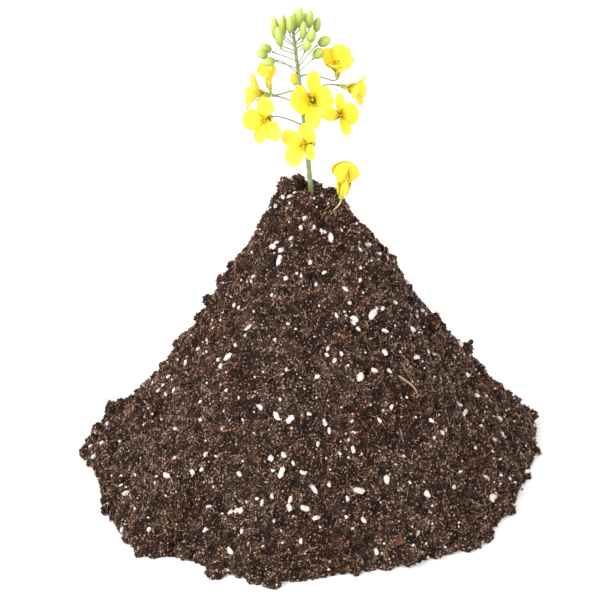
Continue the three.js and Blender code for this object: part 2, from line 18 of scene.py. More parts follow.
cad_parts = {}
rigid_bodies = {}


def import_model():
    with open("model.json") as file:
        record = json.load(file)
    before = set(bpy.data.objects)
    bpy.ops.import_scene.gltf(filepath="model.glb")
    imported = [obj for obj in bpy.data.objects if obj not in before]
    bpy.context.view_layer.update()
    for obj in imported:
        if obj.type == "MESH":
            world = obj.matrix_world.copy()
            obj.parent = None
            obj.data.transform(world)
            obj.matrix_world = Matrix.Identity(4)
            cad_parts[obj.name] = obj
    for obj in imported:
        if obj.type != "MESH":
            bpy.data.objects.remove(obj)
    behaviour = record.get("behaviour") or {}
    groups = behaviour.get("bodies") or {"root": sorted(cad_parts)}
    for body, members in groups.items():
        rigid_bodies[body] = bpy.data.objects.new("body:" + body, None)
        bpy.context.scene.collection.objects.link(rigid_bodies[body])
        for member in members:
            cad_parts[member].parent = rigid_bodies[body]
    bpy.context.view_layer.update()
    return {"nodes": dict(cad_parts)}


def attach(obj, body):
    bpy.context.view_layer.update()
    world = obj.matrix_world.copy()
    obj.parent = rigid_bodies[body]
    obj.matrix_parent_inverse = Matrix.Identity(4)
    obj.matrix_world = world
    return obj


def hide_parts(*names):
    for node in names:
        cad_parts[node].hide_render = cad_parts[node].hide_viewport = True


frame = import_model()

nodes = frame["nodes"]
MM = 0.001
UP = Vector((0, 0, 1))

# %% [markdown]
# ## The camera
#
# The photograph looks down on the heap from about 26 degrees above the level, from far enough away that
# the heap hardly tapers. A long lens at 0.7 m gives that. The camera comes first, because every piece
# after it is judged through it.

# %% Camera
CAMERA_ELEVATION = 26
CAMERA_DISTANCE = 700 * MM
CAMERA_TARGET = Vector((-5.2, 0, 71.5)) * MM
CAMERA_LENS = 103.02

elevation = math.radians(CAMERA_ELEVATION)
camera_back = Vector((0, -math.cos(elevation), math.sin(elevation)))
bpy.ops.object.camera_add(
    location=CAMERA_TARGET + CAMERA_DISTANCE * camera_back,
    rotation=(math.pi / 2 - elevation, 0, 0),
)
camera = bpy.context.object
camera.data.lens = CAMERA_LENS
camera.data.sensor_width = 36
camera.data.clip_start = 0.01
bpy.context.scene.camera = camera
print("camera at", [round(1000 * c) for c in camera.location], "mm")

# %% [markdown]
# ## Helpers for working as by hand
#
# Blender's operators act on whatever is selected, so each step first leaves one piece selected and
# nothing else. In edit mode the points to work on are picked by their place.


# %% Helpers
def select_only(piece):
    bpy.ops.object.select_all(action="DESELECT")
    piece.select_set(True)
    bpy.context.view_layer.objects.active = piece


def edit(piece):
    select_only(piece)
    bpy.ops.object.mode_set(mode="EDIT")
    bpy.ops.mesh.select_mode(type="VERT")
    bpy.ops.mesh.select_all(action="SELECT")


def leave_edit():
    bpy.ops.object.mode_set(mode="OBJECT")


def pick(piece, wanted):
    """In edit mode, selects the points whose place passes the test."""
    mesh = bmesh.from_edit_mesh(piece.data)
    for vert in mesh.verts:
        vert.select_set(False)
    for vert in mesh.verts:
        if wanted(vert.co):
            vert.select_set(True)
    mesh.select_flush(True)
    bmesh.update_edit_mesh(piece.data)


def apply_modifiers(piece):
    select_only(piece)
    for modifier in list(piece.modifiers):
        bpy.ops.object.modifier_apply(modifier=modifier.name)


def settle(piece):
    """Puts the piece's place and turn into its mesh."""
    select_only(piece)
    bpy.ops.object.transform_apply(location=True, rotation=True, scale=True)


def add_copy(source, name):
    """A new object with a mesh of its own that is like the source's."""
    piece = bpy.data.objects.new(name, source.data.copy())
    bpy.context.scene.collection.objects.link(piece)
    return piece


def merged_copy(node, name):
    """A copy of a solid whose loose triangles are joined into one skin."""
    piece = add_copy(nodes[node], name)
    edit(piece)
    bpy.ops.mesh.remove_doubles(threshold=0.001 * MM)
    leave_edit()
    piece.data.materials.clear()
    return piece


def join(name, pieces):
    bpy.ops.object.select_all(action="DESELECT")
    for piece in pieces:
        piece.select_set(True)
    bpy.context.view_layer.objects.active = pieces[0]
    if len(pieces) > 1:
        bpy.ops.object.join()
    joined = bpy.context.view_layer.objects.active
    joined.name = name
    joined.data.name = name
    return joined


def roughen(piece, name, bump_size, strength, depth=2):
    """Displaces the skin by cloudy noise whose bumps are about bump_size across."""
    clouds = bpy.data.textures.new(name, "CLOUDS")
    clouds.noise_scale = bump_size
    clouds.noise_depth = depth
    modifier = piece.modifiers.new(name, "DISPLACE")
    modifier.texture = clouds
    modifier.texture_coords = "LOCAL"
    modifier.strength = strength
    modifier.mid_level = 0.5


def smooth(piece):
    select_only(piece)
    bpy.ops.object.shade_smooth()


def round_off(piece):
    """Adds one live level of subdivision."""
    subdivision = piece.modifiers.new("round", "SUBSURF")
    subdivision.levels = subdivision.render_levels = 1


def dress(piece, material):
    """Gives the whole piece one material."""
    piece.data.materials.clear()
    piece.data.materials.append(material)


def triangles(piece):
    piece.data.calc_loop_triangles()
    return len(piece.data.loop_triangles)


def finish_piece(piece, slot, *stands_for):
    """Hands a finished piece to the frame."""
    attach(piece, "root")
    if stands_for:
        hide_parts(*stands_for)
    print(f"{piece.name}: {triangles(piece)} triangles")


# %% [markdown]
# ## Shader groups
#
# Compost, bark and fibres share one look: broken tones from near black to tan, at the size of a crumb and
# smaller, with lighter and darker clumps a few millimetres across. The tone also darkens where the small
# cells sink, which paints the shade in their hollows. That effect is a group, built once, with the size and
# the spread as inputs. A second group gives the fine veins of a petal along its length.


# %% Shader groups
def new_group(name, inputs, outputs):
    group = bpy.data.node_groups.new(name, "ShaderNodeTree")
    for label, kind, value in inputs:
        socket = group.interface.new_socket(label, in_out="INPUT", socket_type=kind)
        socket.default_value = value
    for label, kind in outputs:
        group.interface.new_socket(label, in_out="OUTPUT", socket_type=kind)
    entry = group.nodes.new("NodeGroupInput")
    exit_node = group.nodes.new("NodeGroupOutput")
    return group, entry, exit_node


def add_node(tree, kind, **settings):
    node = tree.nodes.new(kind)
    for key, value in settings.items():
        setattr(node, key, value)
    return node


def wire(tree, *pairs):
    for start, end in pairs:
        tree.links.new(start, end)


def math_node(tree, operation, first, second):
    """A Math node whose two inputs are numbers or sockets."""
    node = add_node(tree, "ShaderNodeMath", operation=operation)
    for index, value in enumerate((first, second)):
        if isinstance(value, (int, float)):
            node.inputs[index].default_value = value
        else:
            tree.links.new(value, node.inputs[index])
    return node.outputs[0]


PATCHES_PER_METRE = 45
CLUMPS_PER_METRE = 230

broken_earth, entry, leave = new_group(
    "broken earth",
    [("Crumb Size", "NodeSocketFloat", 1.2), ("Contrast", "NodeSocketFloat", 1.0)],
    [("Tone", "NodeSocketFloat"), ("Patch", "NodeSocketFloat"), ("Height", "NodeSocketFloat")],
)
place = add_node(broken_earth, "ShaderNodeTexCoord")
frequency = math_node(broken_earth, "DIVIDE", 1000.0, entry.outputs["Crumb Size"])
coarse = add_node(broken_earth, "ShaderNodeTexNoise")
coarse.inputs["Detail"].default_value = 5
coarse.inputs["Roughness"].default_value = 0.75
cells = add_node(broken_earth, "ShaderNodeTexVoronoi", feature="F1")
patch = add_node(broken_earth, "ShaderNodeTexNoise")
patch.inputs["Scale"].default_value = PATCHES_PER_METRE
patch.inputs["Detail"].default_value = 3
wire(
    broken_earth,
    (place.outputs["Object"], coarse.inputs["Vector"]),
    (place.outputs["Object"], cells.inputs["Vector"]),
    (place.outputs["Object"], patch.inputs["Vector"]),
    (frequency, coarse.inputs["Scale"]),
    (frequency, cells.inputs["Scale"]),
)
spread = math_node(broken_earth, "SUBTRACT", coarse.outputs["Fac"], 0.5)
spread = math_node(broken_earth, "MULTIPLY", spread, entry.outputs["Contrast"])
tone = math_node(broken_earth, "ADD", spread, 0.5)
# Where the cells sink, the tone darkens too: painted shade in their hollows.
sink_and_its_shade = math_node(broken_earth, "MULTIPLY", cells.outputs["Distance"], -0.4)
tone = math_node(broken_earth, "ADD", tone, sink_and_its_shade)
clumps = add_node(broken_earth, "ShaderNodeTexNoise")
clumps.inputs["Scale"].default_value = CLUMPS_PER_METRE
wire(broken_earth, (place.outputs["Object"], clumps.inputs["Vector"]))
mottling = math_node(broken_earth, "SUBTRACT", clumps.outputs["Fac"], 0.5)
tone = math_node(broken_earth, "ADD", tone, mottling)
height = math_node(broken_earth, "ADD", coarse.outputs["Fac"], sink_and_its_shade)
wire(
    broken_earth,
    (tone, leave.inputs["Tone"]),
    (patch.outputs["Fac"], leave.inputs["Patch"]),
    (height, leave.inputs["Height"]),
)

veins, entry, leave = new_group(
    "petal veins",
    [("Count", "NodeSocketFloat", 26.0), ("Strength", "NodeSocketFloat", 0.5)],
    [("Mask", "NodeSocketFloat"), ("Along", "NodeSocketFloat"), ("Height", "NodeSocketFloat")],
)
place = add_node(veins, "ShaderNodeUVMap", uv_map="petal")
split = add_node(veins, "ShaderNodeSeparateXYZ")
wobble = add_node(veins, "ShaderNodeTexNoise")
wobble.inputs["Scale"].default_value = 4
wire(veins, (place.outputs["UV"], split.inputs["Vector"]), (place.outputs["UV"], wobble.inputs["Vector"]))
bend = math_node(veins, "MULTIPLY", wobble.outputs["Fac"], 2.5)
across = math_node(veins, "MULTIPLY", split.outputs["X"], entry.outputs["Count"])
wave = math_node(veins, "SINE", math_node(veins, "ADD", across, bend), 0)
line = math_node(veins, "POWER", math_node(veins, "ABSOLUTE", wave, 0), 0.35)
mask = math_node(veins, "MULTIPLY", math_node(veins, "SUBTRACT", 1.0, line), entry.outputs["Strength"])
wire(
    veins,
    (mask, leave.inputs["Mask"]),
    (split.outputs["Y"], leave.inputs["Along"]),
    (line, leave.inputs["Height"]),
)
print("shader groups:", [group.name for group in (broken_earth, veins)])

# %% [markdown]
# ## Materials
#
# Moist compost is a warm brown on its crumbs, so its colour comes from the broken tone and from a "tint"
# that every crumb carries. The skin under the crumbs is almost black, which paints the shade in the pits
# between them. Perlite is chalk white, darker in the grooves of its surface as painted shade. Petals are
# thin enough to glow, so light passes a little way under their surface; their deeper yellow at the claw
# paints the shade in the heart of the flower.


# %% Material tools
def linear(red, green, blue):
    """A colour of 0 to 255 as seen on a screen, as the light values that shaders use."""
    shares = [channel / 255 for channel in (red, green, blue)]
    return [s / 12.92 if s <= 0.04045 else ((s + 0.055) / 1.055) ** 2.4 for s in shares] + [1.0]


def new_material(name, roughness):
    material = bpy.data.materials.new(name)
    material.use_nodes = True
    shader = material.node_tree.nodes["Principled BSDF"]
    shader.inputs["Roughness"].default_value = roughness
    return material, material.node_tree, shader


def colour_ramp(tree, stops):
    ramp = add_node(tree, "ShaderNodeValToRGB")
    points = ramp.color_ramp.elements
    while len(points) < len(stops):
        points.new(0.5)
    for point, (position, colour) in zip(points, stops):
        point.position = position
        point.color = linear(*colour)
    return ramp


def add_bump(tree, shader, height, distance, strength=1.0):
    bump = add_node(tree, "ShaderNodeBump")
    bump.inputs["Distance"].default_value = distance
    bump.inputs["Strength"].default_value = strength
    wire(tree, (height, bump.inputs["Height"]), (bump.outputs["Normal"], shader.inputs["Normal"]))


def mix_colour(tree, blend_type, share, first, second):
    node = add_node(tree, "ShaderNodeMix", data_type="RGBA", blend_type=blend_type)
    for socket, value in ((node.inputs[0], share), (node.inputs[6], first), (node.inputs[7], second)):
        if isinstance(value, (int, float, list)):
            socket.default_value = value
        else:
            tree.links.new(value, socket)
    return node.outputs[2]


def let_light_in(shader, weight, radius, depth):
    """Lets light pass a little way under the skin, to a depth of its own for red, green and blue."""
    shader.inputs["Subsurface Weight"].default_value = weight
    shader.inputs["Subsurface Radius"].default_value = radius
    shader.inputs["Subsurface Scale"].default_value = depth


# %% Earth materials
def earth_material(name, stops, crumb_size, contrast, red_patch, bump):
    """Broken tones, warmer in some patches, lighter or darker by the tint that each crumb carries."""
    material, tree, shader = new_material(name, 0.9)
    earth = add_node(tree, "ShaderNodeGroup", node_tree=broken_earth)
    earth.inputs["Crumb Size"].default_value = crumb_size
    earth.inputs["Contrast"].default_value = contrast
    tint = add_node(tree, "ShaderNodeAttribute", attribute_name="tint")
    tone = math_node(tree, "ADD", earth.outputs["Tone"], tint.outputs["Fac"])
    ramp = colour_ramp(tree, stops)
    wire(tree, (tone, ramp.inputs["Fac"]))
    share = add_node(tree, "ShaderNodeMapRange")
    share.inputs["From Min"].default_value = 0.34
    share.inputs["From Max"].default_value = 0.7
    wire(tree, (earth.outputs["Patch"], share.inputs["Value"]))
    warm = mix_colour(tree, "MULTIPLY", share.outputs["Result"], ramp.outputs["Color"], linear(*red_patch))
    wire(tree, (warm, shader.inputs["Base Color"]))
    shader.inputs["Specular IOR Level"].default_value = 0.3
    add_bump(tree, shader, earth.outputs["Height"], bump)
    return material


WARM_PATCH = (222, 192, 184)
PORES_PER_METRE = 1600
COMPOST_STOPS = [
    (0.08, (26, 16, 11)),
    (0.34, (88, 61, 47)),
    (0.60, (134, 102, 83)),
    (0.90, (200, 170, 146)),
]
# Dark tones for the heap's skin under the crumbs, where they paint the shade in the pits between the
# crumbs, and for the dark twig stub.
DARK_TONE_AND_PIT_SHADE_STOPS = [
    (0.14, (12, 7, 5)),
    (0.44, (62, 43, 33)),
    (0.75, (150, 122, 102)),
]
BARK_STOPS = [(0.1, (52, 32, 22)), (0.5, (122, 82, 56)), (0.9, (176, 134, 98))]
FIBRE_STOPS = [(0.1, (58, 38, 28)), (0.5, (116, 86, 66)), (0.9, (196, 170, 142))]

compost = earth_material("compost", COMPOST_STOPS, 0.55, 3.2, WARM_PATCH, 0.4 * MM)
dark_tone_and_pit_shade = earth_material("compost pits with painted shade", DARK_TONE_AND_PIT_SHADE_STOPS, 0.6, 2.8, WARM_PATCH, 0.8 * MM)
bark = earth_material("bark", BARK_STOPS, 0.9, 1.3, (255, 225, 205), 0.3 * MM)
fibre = earth_material("fibre", FIBRE_STOPS, 0.6, 0.5, (255, 236, 226), 0.05 * MM)

perlite, tree, shader = new_material("perlite", 0.8)
pores = add_node(tree, "ShaderNodeTexVoronoi", feature="F1")
pores.inputs["Scale"].default_value = PORES_PER_METRE
place = add_node(tree, "ShaderNodeTexCoord")
# The grain darkens in the grooves that the bump presses in: painted shade in its pits.
ramp = colour_ramp(tree, [(0.0, (240, 230, 226)), (0.6, (226, 212, 207)), (1.0, (190, 170, 163))])
wire(
    tree,
    (place.outputs["Object"], pores.inputs["Vector"]),
    (pores.outputs["Distance"], ramp.inputs["Fac"]),
    (ramp.outputs["Color"], shader.inputs["Base Color"]),
)
add_bump(tree, shader, pores.outputs["Distance"], -0.25 * MM)


print("earth materials:", [material.name for material in (compost, dark_tone_and_pit_shade, bark, fibre, perlite)])


# %% Plant materials
def petal_material(name, base, blade, rim):
    """Veined yellow, with light that passes a little way through; deeper at the claw as painted shade in
    the heart of the flower.
    """
    material, tree, shader = new_material(name, 0.5)
    vein = add_node(tree, "ShaderNodeGroup", node_tree=veins)
    vein.inputs["Count"].default_value = 34
    vein.inputs["Strength"].default_value = 0.7
    # The ramp's deeper yellow at the claw paints the shade in the heart of the flower.
    ramp = colour_ramp(tree, [(0.14, base), (0.5, blade), (1.0, rim)])
    wire(tree, (vein.outputs["Along"], ramp.inputs["Fac"]))
    lined = mix_colour(tree, "MULTIPLY", vein.outputs["Mask"], ramp.outputs["Color"], linear(236, 214, 150))
    wire(tree, (lined, shader.inputs["Base Color"]))
    let_light_in(shader, 0.3, (1.0, 0.9, 0.15), 1.5 * MM)
    shader.inputs["Specular IOR Level"].default_value = 0.3
    add_bump(tree, shader, vein.outputs["Height"], 0.04 * MM)
    return material


def leafy_material(name, low, high, size, roughness, bump):
    """Green plant skin, mottled a little between two colours."""
    material, tree, shader = new_material(name, roughness)
    place = add_node(tree, "ShaderNodeTexCoord")
    mottle = add_node(tree, "ShaderNodeTexNoise")
    mottle.inputs["Scale"].default_value = 1000 / size
    mottle.inputs["Detail"].default_value = 4
    ramp = colour_ramp(tree, [(0.3, low), (0.7, high)])
    wire(
        tree,
        (place.outputs["Object"], mottle.inputs["Vector"]),
        (mottle.outputs["Fac"], ramp.inputs["Fac"]),
        (ramp.outputs["Color"], shader.inputs["Base Color"]),
    )
    let_light_in(shader, 0.2, (0.8, 1.0, 0.3), 0.8 * MM)
    add_bump(tree, shader, mottle.outputs["Fac"], bump)
    return material


def bud_material(name, base, middle, tip):
    """Waxy sepals whose colour changes from the stalk to the tip."""
    material, tree, shader = new_material(name, 0.5)
    place = add_node(tree, "ShaderNodeUVMap", uv_map="petal")
    split = add_node(tree, "ShaderNodeSeparateXYZ")
    ramp = colour_ramp(tree, [(0.08, base), (0.45, middle), (0.95, tip)])
    wire(
        tree,
        (place.outputs["UV"], split.inputs["Vector"]),
        (split.outputs["Y"], ramp.inputs["Fac"]),
        (ramp.outputs["Color"], shader.inputs["Base Color"]),
    )
    let_light_in(shader, 0.2, (0.8, 1.0, 0.3), 0.8 * MM)
    return material


# The first colour is the claw's. On an open flower its deeper yellow paints the shade in the heart; on the
# closed fallen flower it is partly the flower's own greener foot and partly painted shade.
petal_yellow = petal_material("petal", (228, 184, 40), (244, 222, 50), (247, 231, 88))
petal_fallen = petal_material("petal fallen", (212, 180, 66), (240, 212, 46), (246, 224, 72))
stem_green = leafy_material("stem", (108, 126, 74), (158, 170, 118), 1.6, 0.55, 0.1 * MM)
root_pale = leafy_material("root", (138, 108, 82), (184, 154, 122), 1.2, 0.8, 0.1 * MM)
stalk_pale = leafy_material("pale stalk", (168, 172, 104), (206, 206, 150), 1.2, 0.6, 0.05 * MM)
bud_green = bud_material("bud", (122, 146, 62), (168, 184, 84), (204, 210, 120))
sepal_green = bud_material("sepal", (168, 180, 64), (206, 212, 72), (232, 226, 90))
bud_gold = bud_material("bud opening", (214, 206, 60), (242, 226, 66), (250, 236, 90))
anther_gold = leafy_material("anther", (206, 150, 30), (236, 196, 60), 0.4, 0.7, 0.1 * MM)
print("materials:", len(bpy.data.materials))

# %% [markdown]
# ## Scattering crumbs
#
# Loose compost is thousands of separate crumbs. A few forms are modelled one by one and strewn over the
# skin by a node group: it drops points on the surface, puts a randomly chosen, turned and sized form on
# each, gives every copy a tint of its own, and makes it all real mesh.


# %% Scatter group
SMALL_ONES_FAVOURED = 2.2
DARK_ONES_FAVOURED = 1.35
LEAST_UPWARD = -0.4
HEIGHT_OF_TOP_SHARE = 0.12


def scatter_group():
    group = bpy.data.node_groups.new("strew over the heap", "GeometryNodeTree")
    face = group.interface
    face.new_socket("Geometry", in_out="INPUT", socket_type="NodeSocketGeometry")
    face.new_socket("Forms", in_out="INPUT", socket_type="NodeSocketCollection")
    for label in (
        "Per Square Metre", "Apart", "Smallest", "Largest", "Stand Out", "Tilt",
        "Share At Foot", "Share At Top", "Darkest", "Lightest",
    ):
        face.new_socket(label, in_out="INPUT", socket_type="NodeSocketFloat")
    face.new_socket("Seed", in_out="INPUT", socket_type="NodeSocketInt")
    face.new_socket("Geometry", in_out="OUTPUT", socket_type="NodeSocketGeometry")
    given = group.nodes.new("NodeGroupInput").outputs
    result = group.nodes.new("NodeGroupOutput").inputs

    normal = add_node(group, "GeometryNodeInputNormal")
    steep = add_node(group, "ShaderNodeSeparateXYZ")
    upward = add_node(group, "FunctionNodeCompare", data_type="FLOAT", operation="GREATER_THAN")
    upward.inputs["B"].default_value = LEAST_UPWARD
    position = add_node(group, "GeometryNodeInputPosition")
    climb = add_node(group, "ShaderNodeSeparateXYZ")
    share = add_node(group, "ShaderNodeMapRange")
    share.inputs["From Max"].default_value = HEIGHT_OF_TOP_SHARE
    drop = add_node(group, "GeometryNodeDistributePointsOnFaces", distribute_method="POISSON")
    wire(
        group,
        (normal.outputs[0], steep.inputs[0]),
        (steep.outputs["Z"], upward.inputs["A"]),
        (position.outputs[0], climb.inputs[0]),
        (climb.outputs["Z"], share.inputs["Value"]),
        (given["Share At Foot"], share.inputs["To Min"]),
        (given["Share At Top"], share.inputs["To Max"]),
        (given["Geometry"], drop.inputs["Mesh"]),
        (upward.outputs[0], drop.inputs["Selection"]),
        (share.outputs["Result"], drop.inputs["Density Factor"]),
        (given["Per Square Metre"], drop.inputs["Density Max"]),
        (given["Apart"], drop.inputs["Distance Min"]),
        (given["Seed"], drop.inputs["Seed"]),
    )

    skew = add_node(group, "FunctionNodeRandomValue", data_type="FLOAT")
    skewed = add_node(group, "ShaderNodeMath", operation="POWER")
    skewed.inputs[1].default_value = SMALL_ONES_FAVOURED
    spread = add_node(group, "ShaderNodeMapRange")
    wire(
        group,
        (given["Seed"], skew.inputs["Seed"]),
        (skew.outputs[1], skewed.inputs[0]),
        (skewed.outputs[0], spread.inputs["Value"]),
        (given["Smallest"], spread.inputs["To Min"]),
        (given["Largest"], spread.inputs["To Max"]),
    )

    lift = add_node(group, "ShaderNodeMath", operation="MULTIPLY")
    outwards = add_node(group, "ShaderNodeVectorMath", operation="SCALE")
    moved = add_node(group, "GeometryNodeSetPosition")
    sizes_kept = add_node(group, "GeometryNodeStoreNamedAttribute", data_type="FLOAT", domain="POINT")
    sizes_kept.inputs["Name"].default_value = "size"
    own_size = add_node(group, "GeometryNodeInputNamedAttribute", data_type="FLOAT")
    own_size.inputs["Name"].default_value = "size"
    wire(
        group,
        (drop.outputs["Points"], sizes_kept.inputs["Geometry"]),
        (spread.outputs["Result"], sizes_kept.inputs["Value"]),
        (own_size.outputs[0], lift.inputs[0]),
        (given["Stand Out"], lift.inputs[1]),
        (drop.outputs["Normal"], outwards.inputs[0]),
        (lift.outputs[0], outwards.inputs["Scale"]),
        (sizes_kept.outputs[0], moved.inputs["Geometry"]),
        (outwards.outputs[0], moved.inputs["Offset"]),
    )

    forms = add_node(group, "GeometryNodeCollectionInfo")
    forms.inputs["Separate Children"].default_value = True
    forms.inputs["Reset Children"].default_value = True
    spin = add_node(group, "FunctionNodeRandomValue", data_type="FLOAT")
    spin.inputs[3].default_value = math.tau
    lean_x = add_node(group, "FunctionNodeRandomValue", data_type="FLOAT")
    lean_y = add_node(group, "FunctionNodeRandomValue", data_type="FLOAT")
    back = add_node(group, "ShaderNodeMath", operation="MULTIPLY")
    back.inputs[1].default_value = -1
    for step, random_node in enumerate((spin, lean_x, lean_y)):
        seed = add_node(group, "ShaderNodeMath", operation="ADD")
        seed.inputs[1].default_value = 11 * (step + 1)
        wire(group, (given["Seed"], seed.inputs[0]), (seed.outputs[0], random_node.inputs["Seed"]))
    turn = add_node(group, "ShaderNodeCombineXYZ")
    lean = add_node(group, "ShaderNodeCombineXYZ")
    turn_rotation = add_node(group, "FunctionNodeEulerToRotation")
    lean_rotation = add_node(group, "FunctionNodeEulerToRotation")
    turned = add_node(group, "FunctionNodeRotateRotation", rotation_space="LOCAL")
    leaned = add_node(group, "FunctionNodeRotateRotation", rotation_space="LOCAL")
    place_forms = add_node(group, "GeometryNodeInstanceOnPoints")
    place_forms.inputs["Pick Instance"].default_value = True
    wire(
        group,
        (given["Forms"], forms.inputs["Collection"]),
        (given["Tilt"], back.inputs[0]),
        (back.outputs[0], lean_x.inputs[2]), (given["Tilt"], lean_x.inputs[3]),
        (back.outputs[0], lean_y.inputs[2]), (given["Tilt"], lean_y.inputs[3]),
        (spin.outputs[1], turn.inputs["Z"]),
        (lean_x.outputs[1], lean.inputs["X"]),
        (lean_y.outputs[1], lean.inputs["Y"]),
        (turn.outputs[0], turn_rotation.inputs[0]),
        (lean.outputs[0], lean_rotation.inputs[0]),
        (drop.outputs["Rotation"], turned.inputs["Rotation"]),
        (turn_rotation.outputs[0], turned.inputs["Rotate By"]),
        (turned.outputs[0], leaned.inputs["Rotation"]),
        (lean_rotation.outputs[0], leaned.inputs["Rotate By"]),
        (moved.outputs[0], place_forms.inputs["Points"]),
        (forms.outputs[0], place_forms.inputs["Instance"]),
        (leaned.outputs[0], place_forms.inputs["Rotation"]),
        (own_size.outputs[0], place_forms.inputs["Scale"]),
    )

    chance = add_node(group, "FunctionNodeRandomValue", data_type="FLOAT")
    mostly_dark = add_node(group, "ShaderNodeMath", operation="POWER")
    mostly_dark.inputs[1].default_value = DARK_ONES_FAVOURED
    tone = add_node(group, "ShaderNodeMapRange")
    tinted = add_node(group, "GeometryNodeStoreNamedAttribute", data_type="FLOAT", domain="INSTANCE")
    tinted.inputs["Name"].default_value = "tint"
    real = add_node(group, "GeometryNodeRealizeInstances")
    wire(
        group,
        (given["Seed"], chance.inputs["Seed"]),
        (chance.outputs[1], mostly_dark.inputs[0]),
        (mostly_dark.outputs[0], tone.inputs["Value"]),
        (given["Darkest"], tone.inputs["To Min"]),
        (given["Lightest"], tone.inputs["To Max"]),
        (place_forms.outputs[0], tinted.inputs["Geometry"]),
        (tone.outputs["Result"], tinted.inputs["Value"]),
        (tinted.outputs[0], real.inputs[0]),
        (real.outputs[0], result["Geometry"]),
    )
    return group


strew_group = scatter_group()
sockets = [item for item in strew_group.interface.items_tree if item.in_out == "INPUT"]
socket_ids = {item.name: item.identifier for item in sockets}
print("scatter inputs:", list(socket_ids)[1:])


# %% Scatter tools
def gather(name, forms):
    """Puts the modelled forms in a collection of their own, which the scatter group picks from."""
    box = bpy.data.collections.new(name)
    bpy.context.scene.collection.children.link(box)
    for form in forms:
        for owner in list(form.users_collection):
            owner.objects.unlink(form)
        box.objects.link(form)
    return box


def strew(name, forms, material, seed, density, apart, sizes, out, tilt, tints=(0, 0), shares=(1, 1)):
    """A new piece: the forms strewn over a copy of the heap as it is by then.

    The density counts forms on a square metre. They lie at least so many millimetres apart, are as many
    across as the two sizes say, with fewer big ones, stand out by a share of their size, and lean by up
    to the tilt in radians. The shares thin them out at the foot and at the top.
    """
    piece = add_copy(heap, name)
    modifier = piece.modifiers.new("strew", "NODES")
    modifier.node_group = strew_group
    modifier[socket_ids["Forms"]] = forms
    modifier[socket_ids["Seed"]] = seed
    for label, value in (
        ("Per Square Metre", density), ("Apart", apart * MM),
        ("Smallest", sizes[0] * MM), ("Largest", sizes[1] * MM),
        ("Stand Out", out), ("Tilt", tilt),
        ("Share At Foot", shares[0]), ("Share At Top", shares[1]),
        ("Darkest", tints[0]), ("Lightest", tints[1]),
    ):
        modifier[socket_ids[label]] = float(value)
    apply_modifiers(piece)
    dress(piece, material)
    lift_to_floor(piece)
    return piece


def lift_to_floor(piece):
    """Lifts any point that lies under the floor up to it."""
    count = len(piece.data.vertices)
    places = np.empty(3 * count, np.float32)
    piece.data.vertices.foreach_get("co", places)
    places = places.reshape(-1, 3)
    places[:, 2] = np.maximum(places[:, 2], 0)
    piece.data.vertices.foreach_set("co", places.ravel())
    piece.data.update()


def discard(box):
    for form in list(box.objects):
        bpy.data.objects.remove(form)
    bpy.data.collections.remove(box)


# %% [markdown]
# ## Crumbs
#
# A clod is a ball of eighty faces that is squashed and has its corners pushed about, so that no two look
# alike. Crumbs and crumble are strewn by the ten thousand, so their form is plainer: two blunt points of
# four or three sides set foot to foot. The crumble breaks up the light at the scale of single grains.


# %% Crumb forms
def crumb_form(number, splits, size, jitter):
    """A ball of flat faces, broken up so many times, stretched and with its corners pushed about."""
    bpy.ops.object.select_all(action="DESELECT")
    bpy.ops.mesh.primitive_ico_sphere_add(subdivisions=splits, radius=0.5)
    form = bpy.context.object
    form.name = f"form_{number}"
    edit(form)
    bpy.ops.transform.resize(value=size)
    bpy.ops.transform.vertex_random(offset=jitter, seed=number)
    leave_edit()
    return form


def shard_form(number, sides, size, jitter):
    """Two points of three or four sides set foot to foot, as short or as long as the size says."""
    bpy.ops.object.select_all(action="DESELECT")
    bpy.ops.mesh.primitive_cone_add(
        vertices=sides, radius1=0.5, depth=0.5, end_fill_type="NOTHING", location=(0, 0, 0.25)
    )
    form = bpy.context.object
    form.name = f"shard_{number}"
    settle(form)
    edit(form)
    bpy.ops.mesh.select_all(action="DESELECT")
    pick(form, lambda co: co.z < 0.01)
    bpy.ops.mesh.extrude_region_move(TRANSFORM_OT_translate={"value": (0, 0, -0.5)})
    bpy.ops.mesh.merge(type="CENTER")
    bpy.ops.mesh.select_all(action="SELECT")
    bpy.ops.mesh.normals_make_consistent(inside=False)
    bpy.ops.transform.resize(value=size, center_override=(0, 0, 0))
    bpy.ops.transform.vertex_random(offset=jitter, seed=number)
    leave_edit()
    return form


crumb_forms = gather("crumb forms", [shard_form(n, 4, (1.15, 0.95, 0.9), 0.2) for n in range(1, 9)])
clod_forms = gather("clod forms", [crumb_form(n, 2, (1.25, 1.0, 0.8), 0.13) for n in range(11, 17)])
shard_forms = gather("shard forms", [shard_form(n, 3, (1.0, 0.75, 1.1), 0.16) for n in range(31, 39)])

# %% [markdown]
# ## The skin of the heap
#
# The solid heap has the right cone, clods and run-out tongues, but in large flat faces. Clods are strewn
# over its copy, thicker round the foot, and the whole is wrapped again in small even faces, so that the
# clods grow together with the heap. Noise then pushes the skin in and out at the size of a pea and of a
# lentil. The underside is cut off level, and its edge is pulled down to the floor and closed, because the
# heap lies flat. Pulling adds no points, so the order of the faces that crumbs are strewn by never changes.

# %% Heap skin
SKIN_STEP = 1.05 * MM
BASE_TRIM = 0.9 * MM

